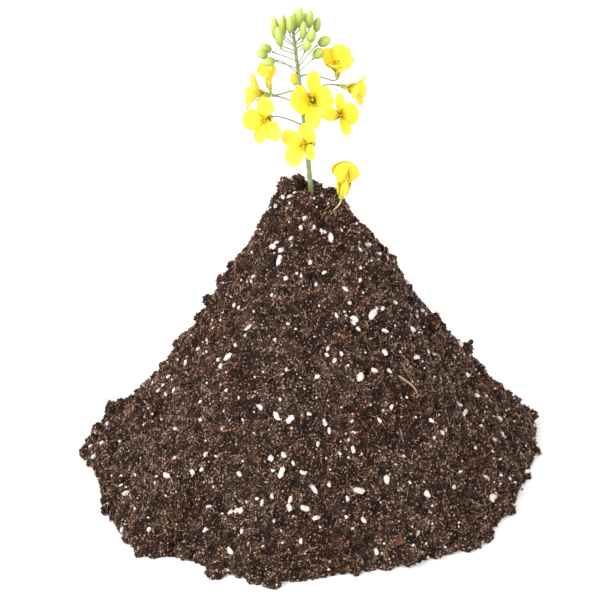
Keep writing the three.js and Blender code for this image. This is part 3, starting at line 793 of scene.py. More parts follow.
heap = merged_copy("compost_heap", "compost_skin")
clods = strew(
    "clods", clod_forms, compost, seed=3, density=9000, apart=4.5, sizes=(2.6, 6.6), out=0.05, tilt=0.8,
)
foot_clods = strew(
    "foot clods", clod_forms, compost, seed=9, density=24000, apart=5.2, sizes=(3.4, 9.0),
    out=0.14, tilt=0.8, shares=(1, -8),
)
heap = join("compost_skin", [heap, clods, foot_clods])
heap.data.remesh_voxel_size = SKIN_STEP
select_only(heap)
bpy.ops.object.voxel_remesh()
roughen(heap, "clumps", 6 * MM, 3.4 * MM)
roughen(heap, "crumbs", 2.3 * MM, 2.4 * MM)
apply_modifiers(heap)

edit(heap)
bpy.ops.mesh.bisect(plane_co=(0, 0, BASE_TRIM), plane_no=(0, 0, 1), clear_inner=True)
bpy.ops.mesh.select_all(action="DESELECT")
pick(heap, lambda co: abs(co.z - BASE_TRIM) < 1e-6)
bpy.ops.transform.translate(value=(0, 0, -BASE_TRIM))
bpy.ops.mesh.edge_face_add()
leave_edit()
# The skin under the crumbs gets the dark pit material, which paints the shade between the crumbs.
dress(heap, dark_tone_and_pit_shade)
finish_piece(heap, "compost", "compost_heap")

# %% [markdown]
# ## Crumbs and crumble on the skin
#
# The skin alone would look like wet clay. Real compost is loose on top, so dark crumbs of about a
# millimetre cover it, and two layers of finer crumble in every tone from black to tan lie between them.

# %% Crumbs and crumble
ANY_WAY_UP = 3.14

crumbs = strew(
    "compost_crumbs", crumb_forms, compost, seed=5, density=350000, apart=0.7, sizes=(0.55, 1.7),
    out=0.1, tilt=ANY_WAY_UP, tints=(-0.32, 0.02),
)
finish_piece(crumbs, "compost")
for number, seed in enumerate((17, 29), 1):
    crumble = strew(
        f"compost_crumble_{number}", shard_forms, compost, seed, density=620000, apart=0.52,
        sizes=(0.4, 1.25), out=0.35, tilt=ANY_WAY_UP, tints=(-0.38, 0.48),
    )
    finish_piece(crumble, "compost")
discard(clod_forms)
discard(shard_forms)

# %% [markdown]
# ## Fibres
#
# Peat and bark leave thousands of short pale needles that lie every way over the surface, and a few long
# threads. A needle is the shard form drawn out thin. A thread is a small triangle extruded along a bent
# path.


# %% Fibre forms
needle_forms = gather("needle forms", [shard_form(n, 3, (0.055, 0.045, 1.0), 0.02) for n in range(41, 47)])
for form in needle_forms.objects:
    form.data.transform(Matrix.Rotation(math.pi / 2, 4, "Y"))
needles = strew(
    "fine_needles", needle_forms, fibre, seed=41, density=430000, apart=0.6, sizes=(1.1, 4.0),
    out=0.14, tilt=0.6, tints=(-0.45, 0.62),
)
finish_piece(needles, "root")
discard(needle_forms)


THREAD_STEPS = 5


def fibre_form(number, thickness, bend):
    bpy.ops.object.select_all(action="DESELECT")
    bpy.ops.mesh.primitive_circle_add(
        vertices=3, radius=thickness, fill_type="NGON",
        rotation=(0, math.pi / 2, 0), location=(-0.5, 0, 0),
    )
    form = bpy.context.object
    form.name = f"fibre_{number}"
    settle(form)
    edit(form)
    for step in range(THREAD_STEPS):
        sway = bend * math.sin(1.9 * step + number)
        rise = 0.4 * bend * math.cos(2.3 * step + 2 * number)
        bpy.ops.mesh.extrude_region_move(TRANSFORM_OT_translate={"value": (1 / THREAD_STEPS, sway, rise)})
    bpy.ops.mesh.select_all(action="SELECT")
    bpy.ops.mesh.normals_make_consistent(inside=False)
    leave_edit()
    return form


root_forms = gather("root forms", [fibre_form(n, 0.013, 0.05) for n in range(10, 15)])
roots = strew(
    "long_fibres", root_forms, fibre, seed=43, density=1800, apart=7, sizes=(4, 10),
    out=0.06, tilt=0.15, tints=(-0.1, 0.4),
)
finish_piece(roots, "root")
discard(root_forms)

# %% [markdown]
# ## Perlite
#
# Perlite is volcanic glass blown up like popcorn: white, light and angular. The solids hold the biggest
# grains, which are refined here in place. Some hundred more are set one by one on the front, each dropped
# onto the skin along the camera's line of sight. Smaller grains and white dust are strewn on all sides.

# %% Perlite in the solids
perlite_nodes = [f"perlite_{number}" for number in range(1, 25)]
big_grains = join("perlite_grains", [merged_copy(node, f"{node}_fine") for node in perlite_nodes])
edit(big_grains)
bpy.ops.mesh.subdivide(number_cuts=2, smoothness=0.12, fractal=1.0, seed=4)
leave_edit()
roughen(big_grains, "pitting", 1.1 * MM, 0.5 * MM)
apply_modifiers(big_grains)
big_grains.data.materials.append(perlite)
finish_piece(big_grains, "perlite", *perlite_nodes)

# %% Perlite on the front
# Place to the right of and above the middle of the picture, in millimetres at the heap's middle, length
# and width in millimetres, and the turn of the long side from straight downhill in degrees
FRONT_GRAINS = [
    (-6.9, 41.2, 3.2, 2.5, 70), (-4.1, 41.6, 3.4, 2, 0), (-2, 43.2, 2.4, 1.6, 0),
    (-9.8, 37.5, 3.4, 2.5, 60), (2, 32.6, 3.4, 2.5, 0), (0.4, 28.9, 5.2, 2.5, 10),
    (8.6, 27.7, 2.6, 2.2, 20), (16.7, 28.1, 2.6, 1.4, 0), (-3.7, 24.5, 3.6, 2, 0),
    (-9.4, 22.8, 2.8, 2, -30), (-7.7, 19.6, 4, 2.6, 0), (-19.2, 18.8, 2.8, 2.3, 60),
    (24.1, 20, 4, 2.2, -15), (32.2, 18.3, 3, 2, 20), (4.1, 14.7, 4, 2.2, 5), (-18.8, 9, 2.8, 2, 0),
    (-5.7, 8.2, 3.4, 2.5, 20), (-1.2, 10.6, 3, 1.6, -10), (0.8, 9.4, 2.6, 2, -40),
    (9.8, 10.6, 3, 2, -60), (6.5, 6.1, 4.2, 1.8, 0), (18.3, 4.1, 4.6, 2, 15), (24.5, 12.6, 3, 2, -30),
    (20, -1.6, 3.8, 2.4, -10), (30.6, -3.7, 3.6, 2, 10), (33.4, -4.1, 3, 2.3, -60),
    (38.7, -1.6, 3, 2, 0), (14.7, -6.5, 4.6, 1.9, 5), (21.6, -9.8, 4, 2.4, 10),
    (23.6, -12.2, 4.8, 2, 0), (34.2, -13, 4.8, 2.3, 25), (-24.5, -3.7, 3, 2.3, 0),
    (-21.2, -11.8, 5, 1.8, -5), (-11.4, 1.6, 2.4, 1.8, 0), (-26.1, -18.8, 3, 2, 30),
    (-33, -24.9, 3, 2.4, 0), (-41.2, -20.4, 2.6, 2, 0), (-53.4, -31.8, 3, 2, 10),
    (-57.5, -37.5, 2.6, 2, 40), (-55.4, -35.1, 2.2, 1.8, 0), (-67.7, -38.7, 2.6, 2, 0),
    (-10.2, -16.7, 2.6, 2, 0), (-4.9, -10.2, 2.6, 1.8, 60), (16.7, -22.4, 3.4, 2, 5),
    (13.9, -25.3, 3, 2.2, -20), (11, -22.8, 2.6, 2, 30), (30.2, -29.4, 3.4, 2.6, 50),
    (36.3, -29.4, 4.2, 2, 0), (37.1, -44, 4, 2.2, -50), (32.2, -49.7, 3.6, 2, 10),
    (-15.9, -44.4, 3, 2.4, 60), (-9, -48.5, 4.2, 2.4, 70), (10.2, -51, 3, 2.2, 10),
    (53.4, -49.7, 4, 2.2, 10), (54.6, -22.8, 3.4, 2, 15), (49.7, -4.9, 3, 2, 0),
    (64.8, -43.2, 3.2, 2, 20), (71.8, -39.5, 3.2, 2.4, 0), (79.1, -57.5, 3, 2, 0),
    (51.8, -79.9, 3.4, 2.5, 60), (25.7, -90.1, 4, 2.4, 25), (19.2, -81.5, 3.4, 2, 10),
    (31, -103.1, 3.4, 2.2, 10), (47.7, -95.4, 3.8, 2.2, -50), (53, -86.4, 2.6, 2, 0),
    (81.5, -71.8, 3, 2, 30), (85.2, -73.4, 2.8, 2.2, 0), (-84.8, -60.3, 3, 2.5, 0),
    (-83.6, -64.4, 3.4, 2.6, 30), (-80.3, -58.7, 2.6, 2.2, 0), (-73, -57.9, 3.2, 2, 80),
    (-40.4, -49.3, 2.8, 2, 60), (-38.3, -63.2, 3.4, 2.4, 0), (-43.6, -70.9, 3.6, 2.8, 60),
    (-39.5, -69.3, 3.8, 2.6, -10), (-24.5, -71.3, 3.4, 2.4, 60), (-11.8, -65.2, 3.6, 3, 40),
    (3.7, -46.9, 3.4, 2, 60), (9.8, -49.7, 3, 2, 10), (11.8, -53.8, 4, 2, 0),
    (21.6, -61.6, 4.2, 2.2, 5), (7.3, -59.1, 3.2, 2, -10), (1.2, -70.9, 3.8, 2, 60),
    (11.8, -75.8, 3, 2.2, 0), (-11.4, -80.3, 3.2, 2, 20), (-15.5, -83.2, 4, 2, 5),
    (-4.1, -81.9, 4, 2.2, -5), (-28.1, -86.8, 3, 2.4, -40), (-24.1, -86.4, 3.6, 3, 20),
    (-10.6, -90.1, 3.2, 1.8, 0), (-61.2, -93.8, 2.8, 2.2, 0), (-72.2, -94.2, 3, 2.4, 30),
    (-38.7, -94.2, 3, 2, 0), (-23.6, -94.6, 2.8, 2, 0), (18.8, -88.5, 3, 2, -10),
    (0.4, -98.7, 4.2, 2, 0),
]


def grain_form(number):
    """A ball of twenty flat faces with its corners pushed about and its faces broken once more."""
    form = crumb_form(number, 1, (1, 1, 1), 0.2)
    edit(form)
    bpy.ops.mesh.subdivide(number_cuts=1, smoothness=0.25, fractal=1.0, seed=number)
    leave_edit()
    return form


# How much of its length, width and height shows of a grain, and how far its middle stands out
GRAIN_SHARES = (0.8, 0.75, 0.7)
GRAIN_LIFT = 0.35
# The flank looks outwards by so much for each metre from the axis, and upwards by so much everywhere
FLANK_OUT = 6
FLANK_UP = 0.8


def set_in_surface(form, across, up, length, width, turn, name):
    """A copy of the form lying in the skin of the heap where the camera sees that point of the picture."""
    picture_up = Vector((0, math.sin(elevation), math.cos(elevation)))
    aim = CAMERA_TARGET + across * MM * Vector((1, 0, 0)) + up * MM * picture_up
    hit, spot, _, _ = heap.ray_cast(camera.location, (aim - camera.location).normalized())
    if not hit:
        return None
    outward = Vector((FLANK_OUT * spot.x, FLANK_OUT * spot.y, FLANK_UP)).normalized()
    downhill = Vector((outward.x, outward.y, 0))
    downhill = (downhill - downhill.dot(outward) * outward).normalized()
    sideways = outward.cross(downhill)
    basis = Matrix((downhill, sideways, outward)).transposed().to_4x4()
    sides = [share * side * MM for share, side in zip(GRAIN_SHARES, (length, width, width))]
    size = Matrix.Diagonal((*sides, 1))
    grain = add_copy(form, name)
    grain.data.transform(
        Matrix.Translation(spot + GRAIN_LIFT * width * MM * outward)
        @ basis @ Matrix.Rotation(math.radians(turn), 4, "Z") @ size
    )
    return grain


grain_forms = [grain_form(number) for number in range(21, 27)]
set_grains = []
for number, row in enumerate(FRONT_GRAINS):
    set_grains.append(set_in_surface(grain_forms[number % len(grain_forms)], *row, f"grain_{number}"))
set_grains = [grain for grain in set_grains if grain]
print("grains placed by hand:", len(set_grains))
front_grains = join("perlite_front", set_grains)
front_grains.data.materials.append(perlite)
finish_piece(front_grains, "perlite")

# %% Perlite strewn
grain_box = gather("grain forms", grain_forms)
for form in grain_forms:
    edit(form)
    bpy.ops.transform.resize(value=(1.15, 0.7, 0.62))
    leave_edit()
strewn_grains = strew(
    "perlite_strewn", grain_box, perlite, seed=47, density=4800, apart=4, sizes=(1.4, 3.4),
    out=0.3, tilt=0.5, tints=(0, 0.1), shares=(0.6, 1),
)
finish_piece(strewn_grains, "perlite")
discard(grain_box)

dust = strew(
    "perlite_dust", crumb_forms, perlite, seed=53, density=26000, apart=1.5, sizes=(0.4, 1.5),
    out=0.3, tilt=ANY_WAY_UP, tints=(0, 0.1),
)
finish_piece(dust, "perlite")
discard(crumb_forms)

# %% [markdown]
# ## Scraps in the surface
#
# A chip and a bit of bark, a splinter, a dry stub and a looped root are solids already. Each is
# copied, given more faces and broken up a little, so that its edges are torn rather than cut.


# %% Scraps
def refined(node, name, material, slot, cuts, bump_size, strength):
    piece = merged_copy(node, name)
    edit(piece)
    bpy.ops.mesh.subdivide(number_cuts=cuts, smoothness=0.3)
    leave_edit()
    roughen(piece, f"{name} wear", bump_size, strength)
    apply_modifiers(piece)
    piece.data.materials.append(material)
    finish_piece(piece, slot, node)


refined("bark_chip", "bark_chip_fine", bark, "bark", 4, 1.6 * MM, 0.8 * MM)
refined("bark_bit", "bark_bit_fine", bark, "bark", 4, 1.4 * MM, 0.6 * MM)
refined("wood_splinter", "wood_splinter_fine", fibre, "bark", 4, 1.2 * MM, 0.5 * MM)
refined("twig_stub", "twig_stub_fine", dark_tone_and_pit_shade, "bark", 2, 1.0 * MM, 0.35 * MM)
refined("root_fibre", "root_fibre_fine", root_pale, "root", 1, 1.0 * MM, 0.25 * MM)

# %% [markdown]
# ## The stem and its stalks
#
# A rape stem is a green rod with a waxy bloom that thins upwards, and each flower or bud hangs on a thin
# stalk of its own. A stalk is a smooth curve given a round section, which starts inside the stem and
# arrives at the base of its flower in the direction that the flower looks.

# %% Stem line
STEM_FOOT = Vector((-0.8, 0, 116.6))
STEM_LENGTH = 68
STEM_LEAN = 7
STEM_BURIED = 14


def stem_point(below):
    """The stem's centre at this many millimetres below its tip."""
    share = 1 - below / STEM_LENGTH
    if share < 0:
        return STEM_FOOT + Vector((0, 0, STEM_LENGTH * share))
    return STEM_FOOT + Vector((-STEM_LEAN * share**1.2, 0, STEM_LENGTH * share))


STEM_TIP = stem_point(0)
STALK_GAP = 0.3
STALK_MARKS = (0, 0.15, 0.35, 0.55, 0.75, 0.9, 1)
# How far a stalk bends as a share of its reach, and how steeply it leaves the stem
FLOWER_STALK = (0.4, 0.6)
BUD_STALK = (0.22, 0.9)


def tube(name, points, radii, sides, steps):
    """A round rod through the points, in millimetres, as a closed mesh."""
    bpy.ops.object.select_all(action="DESELECT")
    bpy.ops.curve.primitive_nurbs_path_add()
    rod = bpy.context.object
    rod.name = name
    line = rod.data
    line.splines.clear()
    spline = line.splines.new("BEZIER")
    spline.bezier_points.add(len(points) - 1)
    for point, spot, radius in zip(spline.bezier_points, points, radii):
        point.co = spot * MM
        point.radius = radius
        point.handle_left_type = point.handle_right_type = "AUTO"
    line.bevel_depth = MM
    line.bevel_resolution = sides
    line.resolution_u = steps
    line.use_fill_caps = True
    bpy.ops.object.convert(target="MESH")
    settle(rod)
    return rod


def head_place(below, at, facing, habit=FLOWER_STALK):
    """The stalk's points, and the base and direction of the flower or bud on it."""
    bend, climb = habit
    start = stem_point(below)
    end = STEM_TIP + Vector(at)
    look = Vector(facing).normalized()
    reach = bend * (end - start).length
    leaving = Vector((end.x - start.x, end.y - start.y, 0)).normalized() + climb * UP
    first = start + reach * leaving.normalized()
    second = end - reach * look
    points = []
    for share in STALK_MARKS:
        rest = 1 - share
        points.append(
            rest**3 * start + 3 * rest**2 * share * first + 3 * rest * share**2 * second + share**3 * end
        )
    return points, end + STALK_GAP * look, look


print("stem tip at", [round(c, 1) for c in STEM_TIP], "mm")

# %% [markdown]
# ## Where each flower and bud is
#
# A raceme opens from below, so open flowers hang round the middle of the stem and tight buds crown it. No
# rule gives the places of real flowers. They are a list, the same as the solids', and each stalk is
# worked out from where its head is and which way it looks.

# %% Flowers and buds, with their places
# How far below the tip the stalk leaves the stem and where it ends as seen from the tip, in millimetres,
# the way the flower looks, its turn and how far its sides open in degrees, and its size
FLOWERS = {
    "flower_front": (33, (6.8, -7, -25), (0.06, -0.93, 0.36), 0, 50, 1.12),
    "flower_low": (46, (8, -3.6, -43.6), (-0.5, -0.85, 0.15), 36, 68, 1.02),
    "flower_left_low": (38, (-8.7, -1.5, -33.6), (-0.3, -0.93, 0.15), -12, 42, 0.95),
    "flower_left_back": (31, (-8.4, 6, -27.5), (-0.88, -0.2, 0.2), 45, 62, 0.82),
    "flower_left_closed": (24, (-8.8, -2.5, -22.6), (-0.15, -0.05, 1), 20, 6, 0.72),
    "flower_right_high": (18, (17, 3.4, -19.2), (-0.05, -0.5, 0.85), 62, 34, 0.92),
    "flower_right_back": (27, (18.2, 8, -24.2), (0.9, -0.4, -0.1), 45, 60, 0.75),
    "flower_right_low": (37, (17.2, 2.4, -34), (0.15, -0.93, 0.3), 14, 52, 0.88),
}
# The same three for the buds, with their length and width in millimetres
BUDS = {
    "bud_crown_1": (8, (-6.4, 1, -4), (-0.1, 0.05, 1), 8.6, 2.9),
    "bud_crown_2": (9, (-4.6, -4.2, -5), (-0.15, -0.1, 1), 7.8, 2.9),
    "bud_crown_3": (6, (-3.6, -0.8, -2), (-0.08, 0, 1), 7.2, 2.6),
    "bud_crown_4": (3, (-1.2, -3, -0.2), (0, -0.05, 1), 6.8, 2.5),
    "bud_crown_5": (1.5, (2.3, 0, 0.9), (0.03, 0, 1), 8, 2.8),
    "bud_crown_6": (4, (0.4, 3.6, -1.4), (0, 0.05, 1), 7, 2.9),
    "bud_crown_7": (4.5, (6, 0.8, 0.6), (0.05, 0, 1), 7, 2.9),
    "bud_crown_8": (7, (8.6, 3.2, -1.5), (0.15, 0.05, 1), 5.5, 2.8),
    "bud_crown_9": (8, (6.2, -3.2, -3.8), (0.2, -0.1, 1), 5.5, 3.3),
    "bud_crown_10": (13, (4.4, -5, -6.2), (0.35, -0.1, 1), 4, 3.3),
    "bud_crown_11": (5, (3.6, -3.2, -2.6), (0.05, -0.05, 1), 7, 2.5),
    "bud_crown_12": (5.5, (-3.4, 3.2, -2), (-0.08, 0.05, 1), 7, 2.6),
    "bud_crown_13": (5, (4, 4.4, -0.6), (0.06, 0.08, 1), 6, 2.6),
    "bud_left_1": (12, (-8, 0.4, -8), (-0.85, 0, 0.45), 4.6, 3.3),
    "bud_left_2": (15, (-9.6, -3.6, -9.2), (-0.75, -0.1, 0.55), 4.6, 3.2),
    "bud_left_3": (17, (-6.4, -6.2, -9.4), (-0.95, -0.2, -0.1), 4.6, 3.2),
    "bud_right_1": (14, (9.2, 0, -5.4), (0.85, 0, 0.5), 5.2, 3.6),
    "bud_right_2": (16, (7.6, -2, -10), (0.65, -0.1, 0.75), 4.8, 3.6),
    "bud_yellow": (27, (1.2, 3.6, -23), (-0.2, 0.25, 0.9), 4.8, 3.2),
}

# The four petals of each flower, counted from its right round by its top: how far each opens, its width
# as a share of a flat petal's, because some are curled lengthwise, and its own swing round the flower
PETALS = {
    "flower_front": ((44, 0.9, 8), (80, 0.46, 2), (50, 1.0, 4), (82, 0.6, 4)),
    "flower_low": ((78, 0.8, 8), (80, 0.75, 0), (82, 0.8, -14), (54, 0.55, 10)),
    "flower_left_low": ((76, 0.75, -50), (80, 0.75, -8), (56, 0.9, -8), (84, 0.55, -18)),
    "flower_left_back": ((66, 0.65, 0), (62, 0.85, 0), (60, 0.75, 0), (62, 1.1, 6)),
    "flower_left_closed": ((12, 0.9, 0), (14, 0.95, 0), (10, 0.9, 4), (16, 0.95, -4)),
    "flower_right_high": ((44, 0.95, 0), (40, 0.9, 5), (34, 0.8, 0), (50, 0.9, -5)),
    "flower_right_back": ((60, 0.85, 0), (58, 0.8, 0), (52, 0.95, 0), (42, 1.1, 0)),
    "flower_right_low": ((48, 1.0, 4), (76, 0.46, 0), (64, 0.6, -14), (72, 0.55, 12)),
    "fallen_flower": ((22, 0.95, 0), (24, 0.95, 0), (20, 0.95, 0), (24, 0.98, 0)),
}

print("flowers:", len(FLOWERS), "buds:", len(BUDS), "petals:", 4 * len(PETALS))

# %% Stem and stalks
stem_marks = [-STEM_BURIED + 0.5, 0, 14, 28, 42, 56, STEM_LENGTH]
stem_points = [stem_point(STEM_LENGTH - mark) for mark in stem_marks]
stem_radii = [1.1, 1.02, 0.95, 0.88, 0.78, 0.66, 0.55]
rods = [tube("sprig_stem_fine", stem_points, stem_radii, 4, 8)]
for heads, habit, thin in ((FLOWERS, FLOWER_STALK, 0.28), (BUDS, BUD_STALK, 0.2)):
    radii = [0.5, thin, thin, thin, thin, thin + 0.04, 0.5]
    for name, row in heads.items():
        points, _, _ = head_place(*row[:3], habit)
        rods.append(tube(f"{name}_stalk", points, radii, 1, 4))
sprig = join("sprig_stem_fine", rods)
smooth(sprig)
dress(sprig, stem_green)
finish_piece(sprig, "stem", "sprig_stem")

# %% [markdown]
# ## A petal
#
# A rape petal has a narrow upright claw and a broad round blade that folds outwards above it. A flat
# strip is widened row by row into that outline, its rim lifted like a spoon's, and then bent like a
# finger, joint by joint. Its blade is waved a little, because a fresh petal is never flat, and its sheet
# gets a real thickness last. A sepal is the same thing, short and narrow.

# %% Petal
PETAL_LENGTH = 14
PETAL_WIDTH = 10
PETAL_COLUMNS = 6
SEPAL_LENGTH = 7.2
SEPAL_WIDTH = 2.5
SEPAL_COLUMNS = 2
SHEET = 0.22 * MM
# Half width at each row from claw to rim, as a share of the widest
PETAL_OUTLINE = (0.14, 0.14, 0.14, 0.15, 0.19, 0.34, 0.64, 0.87, 1.0, 1.0, 0.92, 0.74, 0.4)
SEPAL_OUTLINE = (0.6, 0.9, 1.0, 0.85, 0.5, 0.12)


def flat_blade(name, length, width, outline, columns):
    """A flat blade in the XZ plane that stands on the origin, its pattern laid from base to rim."""
    rows = len(outline) - 1
    bpy.ops.object.select_all(action="DESELECT")
    bpy.ops.mesh.primitive_grid_add(x_subdivisions=columns, y_subdivisions=rows, size=1, calc_uvs=True)
    piece = bpy.context.object
    piece.name = name
    piece.data.uv_layers[0].name = "petal"
    edit(piece)
    for row, share in enumerate(outline):
        level = row / rows - 0.5
        pick(piece, lambda co: abs(co.y - level) < 0.01)
        bpy.ops.transform.resize(value=(share * width * MM, 1, 1), center_override=(0, level, 0))
    bpy.ops.mesh.select_all(action="SELECT")
    bpy.ops.transform.translate(value=(0, 0.5, 0))
    bpy.ops.transform.resize(value=(1, length * MM, 1), center_override=(0, 0, 0))
    bpy.ops.transform.rotate(value=-math.pi / 2, orient_axis="X", center_override=(0, 0, 0))
    leave_edit()
    return piece


def pick_rows(piece, first, columns):
    mesh = bmesh.from_edit_mesh(piece.data)
    for vert in mesh.verts:
        vert.select_set(vert.index // (columns + 1) >= first)
    mesh.select_flush(True)
    bmesh.update_edit_mesh(piece.data)


def bend_outwards(piece, joints, angle, columns):
    """Bends the rows above each joint towards +Y, an equal part of the angle at each."""
    edit(piece)
    for joint in joints:
        mesh = bmesh.from_edit_mesh(piece.data)
        mesh.verts.ensure_lookup_table()
        middle = mesh.verts[joint * (columns + 1) + columns // 2].co.copy()
        pick_rows(piece, joint, columns)
        bpy.ops.transform.rotate(
            value=math.radians(angle) / len(joints), orient_axis="X", center_override=middle
        )
    leave_edit()


def lift_rim(piece, width, lift):
    """Presses the blade into a spoon by lifting its sides towards -Y."""
    edit(piece)
    for part in (0.28, 0.36, 0.43):
        pick(piece, lambda co: abs(co.x) > part * width * MM)
        bpy.ops.transform.translate(value=(0, -lift * MM / 3, 0))
    leave_edit()


petal_flat = flat_blade("petal_flat", PETAL_LENGTH, PETAL_WIDTH, PETAL_OUTLINE, PETAL_COLUMNS)
lift_rim(petal_flat, PETAL_WIDTH, 1.0)
sepal_flat = flat_blade("sepal_flat", SEPAL_LENGTH, SEPAL_WIDTH, SEPAL_OUTLINE, SEPAL_COLUMNS)
lift_rim(sepal_flat, SEPAL_WIDTH, 0.4)
print("petal pattern:", len(petal_flat.data.vertices), "points")


CLAW_ROWS = (1, 2)
BEND_ROWS = (3, 4, 5, 6)
CLOSING_ROWS = (5, 6, 7, 8, 9, 10)


def blade_copy(pattern, name, size, width, joints, angle, columns, away, turn, material, wave, closing=0):
    """A bent and waved copy of a flat blade, at its distance from the axis and its turn round it."""
    piece = add_copy(pattern, name)
    bend_outwards(piece, joints, angle, columns)
    if closing:
        bend_outwards(piece, CLOSING_ROWS, -closing, columns)
    edit(piece)
    bpy.ops.transform.resize(value=(width * size, size, size), center_override=(0, 0, 0))
    bpy.ops.transform.translate(value=(0, away * MM, MM))
    leave_edit()
    piece.data.transform(Matrix.Rotation(turn, 4, "Z"))
    if wave:
        piece.data.transform(Matrix.Translation((wave * MM, 0, 0)))
        roughen(piece, f"{name} wave", 5 * MM, 2.0 * MM, 0)
    thick = piece.modifiers.new("sheet", "SOLIDIFY")
    thick.thickness = SHEET
    thick.offset = 0
    round_off(piece)
    apply_modifiers(piece)
    if wave:
        piece.data.transform(Matrix.Translation((-wave * MM, 0, 0)))
    smooth(piece)
    dress(piece, material)
    return piece


# %% [markdown]
# ## The heart of a flower
#
# Four long and two short stamens stand round a green pistil on a small cup. The heart is modelled once,
# each thread a thin rod and each anther a stretched ball, and copied into every flower.

# %% Heart
def ball(name, centre, size, tilt, segments=8, rings=6):
    bpy.ops.object.select_all(action="DESELECT")
    bpy.ops.mesh.primitive_uv_sphere_add(segments=segments, ring_count=rings, radius=0.5)
    piece = bpy.context.object
    piece.name = name
    edit(piece)
    bpy.ops.transform.resize(value=[side * MM for side in size])
    pick(piece, lambda co: co.z > 0.2 * size[2] * MM)
    bpy.ops.transform.resize(value=(0.8, 0.8, 1), center_override=(0, 0, 0))
    leave_edit()
    piece.data.transform(Matrix.Translation(Vector(centre) * MM) @ Matrix.Rotation(tilt, 4, "X"))
    smooth(piece)
    return piece


def heart():
    parts = [tube("pistil", [Vector((0, 0, h)) for h in (0.2, 3, 6, 7.6)], [1.2, 1.0, 0.45, 0.4], 2, 3)]
    parts.append(ball("stigma", (0, 0, 7.8), (1.1, 1.1, 0.7), 0))
    for piece in parts:
        dress(piece, sepal_green)
    for number in range(6):
        turn = math.radians(60 * number + 30)
        short = number % 3 == 0
        top = 6.0 if short else 8.0
        away = 2.1 if short else 1.5
        line = [Vector((0, 0.8, 1)), Vector((0, 1.1, 0.55 * top)), Vector((0, away, top))]
        thread = tube("thread", line, [0.2, 0.16, 0.14], 0, 3)
        anther = ball("anther", (0, away, top + 0.4), (0.75, 0.6, 1.9), 0.35 if short else 0.15)
        for piece, material in ((thread, petal_yellow), (anther, anther_gold)):
            dress(piece, material)
            piece.data.transform(Matrix.Rotation(turn, 4, "Z"))
            parts.append(piece)
    return join("heart", parts)


heart_pattern = heart()
print("heart:", triangles(heart_pattern), "triangles")

# %% [markdown]
# ## The flowers
#
# Each flower is four petals crosswise, four sepals between them and the heart, put together upright and
# then turned to look the way its solid does. Each petal opens, narrows and swings as the table says and has
# a wave of its own, so no two are alike.

# %% Flowers
# The rows that the petals bend at, the degrees that they close again by, and the sepals' size and width
OPEN_FLOWER = (BEND_ROWS, 0, 1, 1)
CLOSED_FLOWER = (CLAW_ROWS, 54, 1.45, 1.6)
PETAL_AWAY = 0.7
SEPAL_AWAY = 0.9
SEPAL_OPENING = 0.75
draw = np.random.default_rng(7)


def whole_flower(name, opening, size, petal_finish, sepal_finish, habit=OPEN_FLOWER):
    """Petals, sepals and heart; a closed flower bulges from its foot and shuts again at its top."""
    joints, closing, sepal_size, sepal_width = habit
    parts = []
    for quarter, (opened, width, swing) in enumerate(PETALS[name]):
        turn = math.radians(90 * (quarter - 1) + swing)
        parts.append(blade_copy(
            petal_flat, f"{name}_petal_{quarter}", size, width, joints, opened, PETAL_COLUMNS,
            PETAL_AWAY, turn, petal_finish, draw.uniform(20, 400), closing,
        ))
        parts.append(blade_copy(
            sepal_flat, f"{name}_sepal_{quarter}", sepal_size * size, sepal_width, CLAW_ROWS,
            SEPAL_OPENING * opening, SEPAL_COLUMNS, SEPAL_AWAY, turn + math.pi / 4, sepal_finish, 0,
        ))
    middle = add_copy(heart_pattern, f"{name}_heart")
    middle.data.transform(Matrix.Scale(size, 4))
    parts.append(middle)
    return join(f"{name}_fine", parts)


def turn_to(piece, base, look, turn):
    facing = UP.rotation_difference(look) @ Quaternion(UP, math.radians(turn))
    piece.data.transform(Matrix.Translation(base * MM) @ facing.to_matrix().to_4x4())


for name, (below, at, facing, turn, opening, size) in FLOWERS.items():
    bloom = whole_flower(name, opening, size, petal_yellow, sepal_green)
    _, base, look = head_place(below, at, facing)
    turn_to(bloom, base, look, turn)
    finish_piece(bloom, "petal", name)

# %% [markdown]
# ## The fallen flower
#
# It has closed again and stands on its own bent stalk at the right rim. It is the same flower with petals
# that bulge from their foot and shut at the top, in a deeper yellow than the open flowers on the sprig,
# held by longer golden sepals.

# %% Fallen flower
FALLEN_STALK = [
    Vector(place) for place in (
        (6, -8.2, 113.3), (8, -8.35, 114.9), (9.5, -8.45, 116.5), (10.5, -8.55, 118), (10.9, -8.55, 119.6),
    )
]
FALLEN_LOOK = Vector((0.14, 0, 1)).normalized()
FALLEN_OPENING = 20
FALLEN_TURN = 10
FALLEN_SIZE = 1.1
fallen_stalk = tube("fallen_stalk_fine", FALLEN_STALK, [0.34, 0.32, 0.32, 0.36, 0.45], 1, 4)
smooth(fallen_stalk)
dress(fallen_stalk, stalk_pale)
finish_piece(fallen_stalk, "stem", "fallen_flower_stalk")

fallen = whole_flower("fallen_flower", FALLEN_OPENING, FALLEN_SIZE, petal_fallen, bud_gold, CLOSED_FLOWER)
turn_to(fallen, FALLEN_STALK[-1] + STALK_GAP * FALLEN_LOOK, FALLEN_LOOK, FALLEN_TURN)
finish_piece(fallen, "petal", "fallen_flower")

# %% [markdown]
# ## The buds
#
# A bud is four sepals closed over each other, so a stretched ball gets four shallow grooves and a
# narrower tip. The colour runs along its length, from green at the stalk to pale at the tip.

# %% Buds
# The visible bud is a little longer and fuller than its solid
BUD_LENGTHENED = 1.08
BUD_SWOLLEN = 1.16


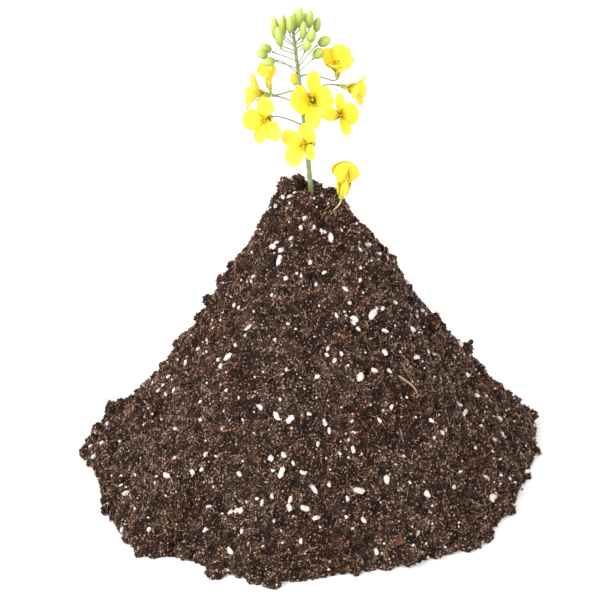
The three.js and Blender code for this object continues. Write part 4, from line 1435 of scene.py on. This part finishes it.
def bud_form(length, width, name):
    bpy.ops.object.select_all(action="DESELECT")
    bpy.ops.mesh.primitive_uv_sphere_add(segments=16, ring_count=10, radius=0.5, calc_uvs=True)
    piece = bpy.context.object
    piece.name = name
    piece.data.uv_layers[0].name = "petal"
    edit(piece)
    pick(piece, lambda co: abs(abs(co.x) - abs(co.y)) < 0.02 and math.hypot(co.x, co.y) > 0.05)
    bpy.ops.transform.resize(value=(0.84, 0.84, 1), center_override=(0, 0, 0))
    for level, narrower in ((0.2, 0.94), (0.35, 0.9), (0.44, 0.8)):
        pick(piece, lambda co: co.z > level)
        bpy.ops.transform.resize(value=(narrower, narrower, 1), center_override=(0, 0, 0))
    bpy.ops.mesh.select_all(action="SELECT")
    bpy.ops.transform.translate(value=(0, 0, 0.5))
    bpy.ops.transform.resize(value=(width * MM, width * MM, length * MM), center_override=(0, 0, 0))
    leave_edit()
    round_off(piece)
    apply_modifiers(piece)
    smooth(piece)
    return piece


for name, (below, at, facing, length, width) in BUDS.items():
    bud = bud_form(BUD_LENGTHENED * length, BUD_SWOLLEN * width, f"{name}_fine")
    dress(bud, bud_gold if name == "bud_yellow" else bud_green)
    _, base, look = head_place(below, at, facing)
    turn_to(bud, base, look, 0)
    finish_piece(bud, "petal" if name == "bud_yellow" else "bud", name)

for pattern in (petal_flat, sepal_flat, heart_pattern):
    bpy.data.objects.remove(pattern)

# %% [markdown]
# ## Floor and light
#
# The heap lies on white paper in soft studio light. A wide lamp from the upper left front is the key, a
# weak one from the right front opens the shadows, and the white surroundings fill the rest. The paper
# glows a little, so that it burns out to white.

# %% Floor and light
bpy.ops.object.select_all(action="DESELECT")
bpy.ops.mesh.primitive_plane_add(size=6, location=(0, 0, -0.2 * MM))
floor = bpy.context.object
floor.name = "floor"
paper, tree, shader = new_material("paper", 0.9)
shader.inputs["Base Color"].default_value = (0.96, 0.96, 0.96, 1)
shader.inputs["Specular IOR Level"].default_value = 0.1
shader.inputs["Emission Color"].default_value = (1, 1, 1, 1)
shader.inputs["Emission Strength"].default_value = 0.2
floor.data.materials.append(paper)

world = bpy.data.worlds.new("white studio")
bpy.context.scene.world = world
world.use_nodes = True
world.node_tree.nodes["Background"].inputs["Color"].default_value = (1, 1, 1, 1)
world.node_tree.nodes["Background"].inputs["Strength"].default_value = 0.8

LIT_POINT = Vector((0, 0, 60)) * MM
for name, spot, power, width in (
    ("key", (-1.1, -0.85, 1.15), 28, 1.1),
    ("fill", (0.6, -1.2, 0.6), 5, 0.9),
):
    bpy.ops.object.light_add(type="AREA", location=spot)
    lamp = bpy.context.object
    lamp.name = name
    lamp.data.energy = power
    lamp.data.size = width
    lamp.rotation_euler = (LIT_POINT - Vector(spot)).to_track_quat("-Z", "Y").to_euler()
bpy.context.scene.view_settings.view_transform = "Standard"

print("lights:", [light.name for light in bpy.data.lights])
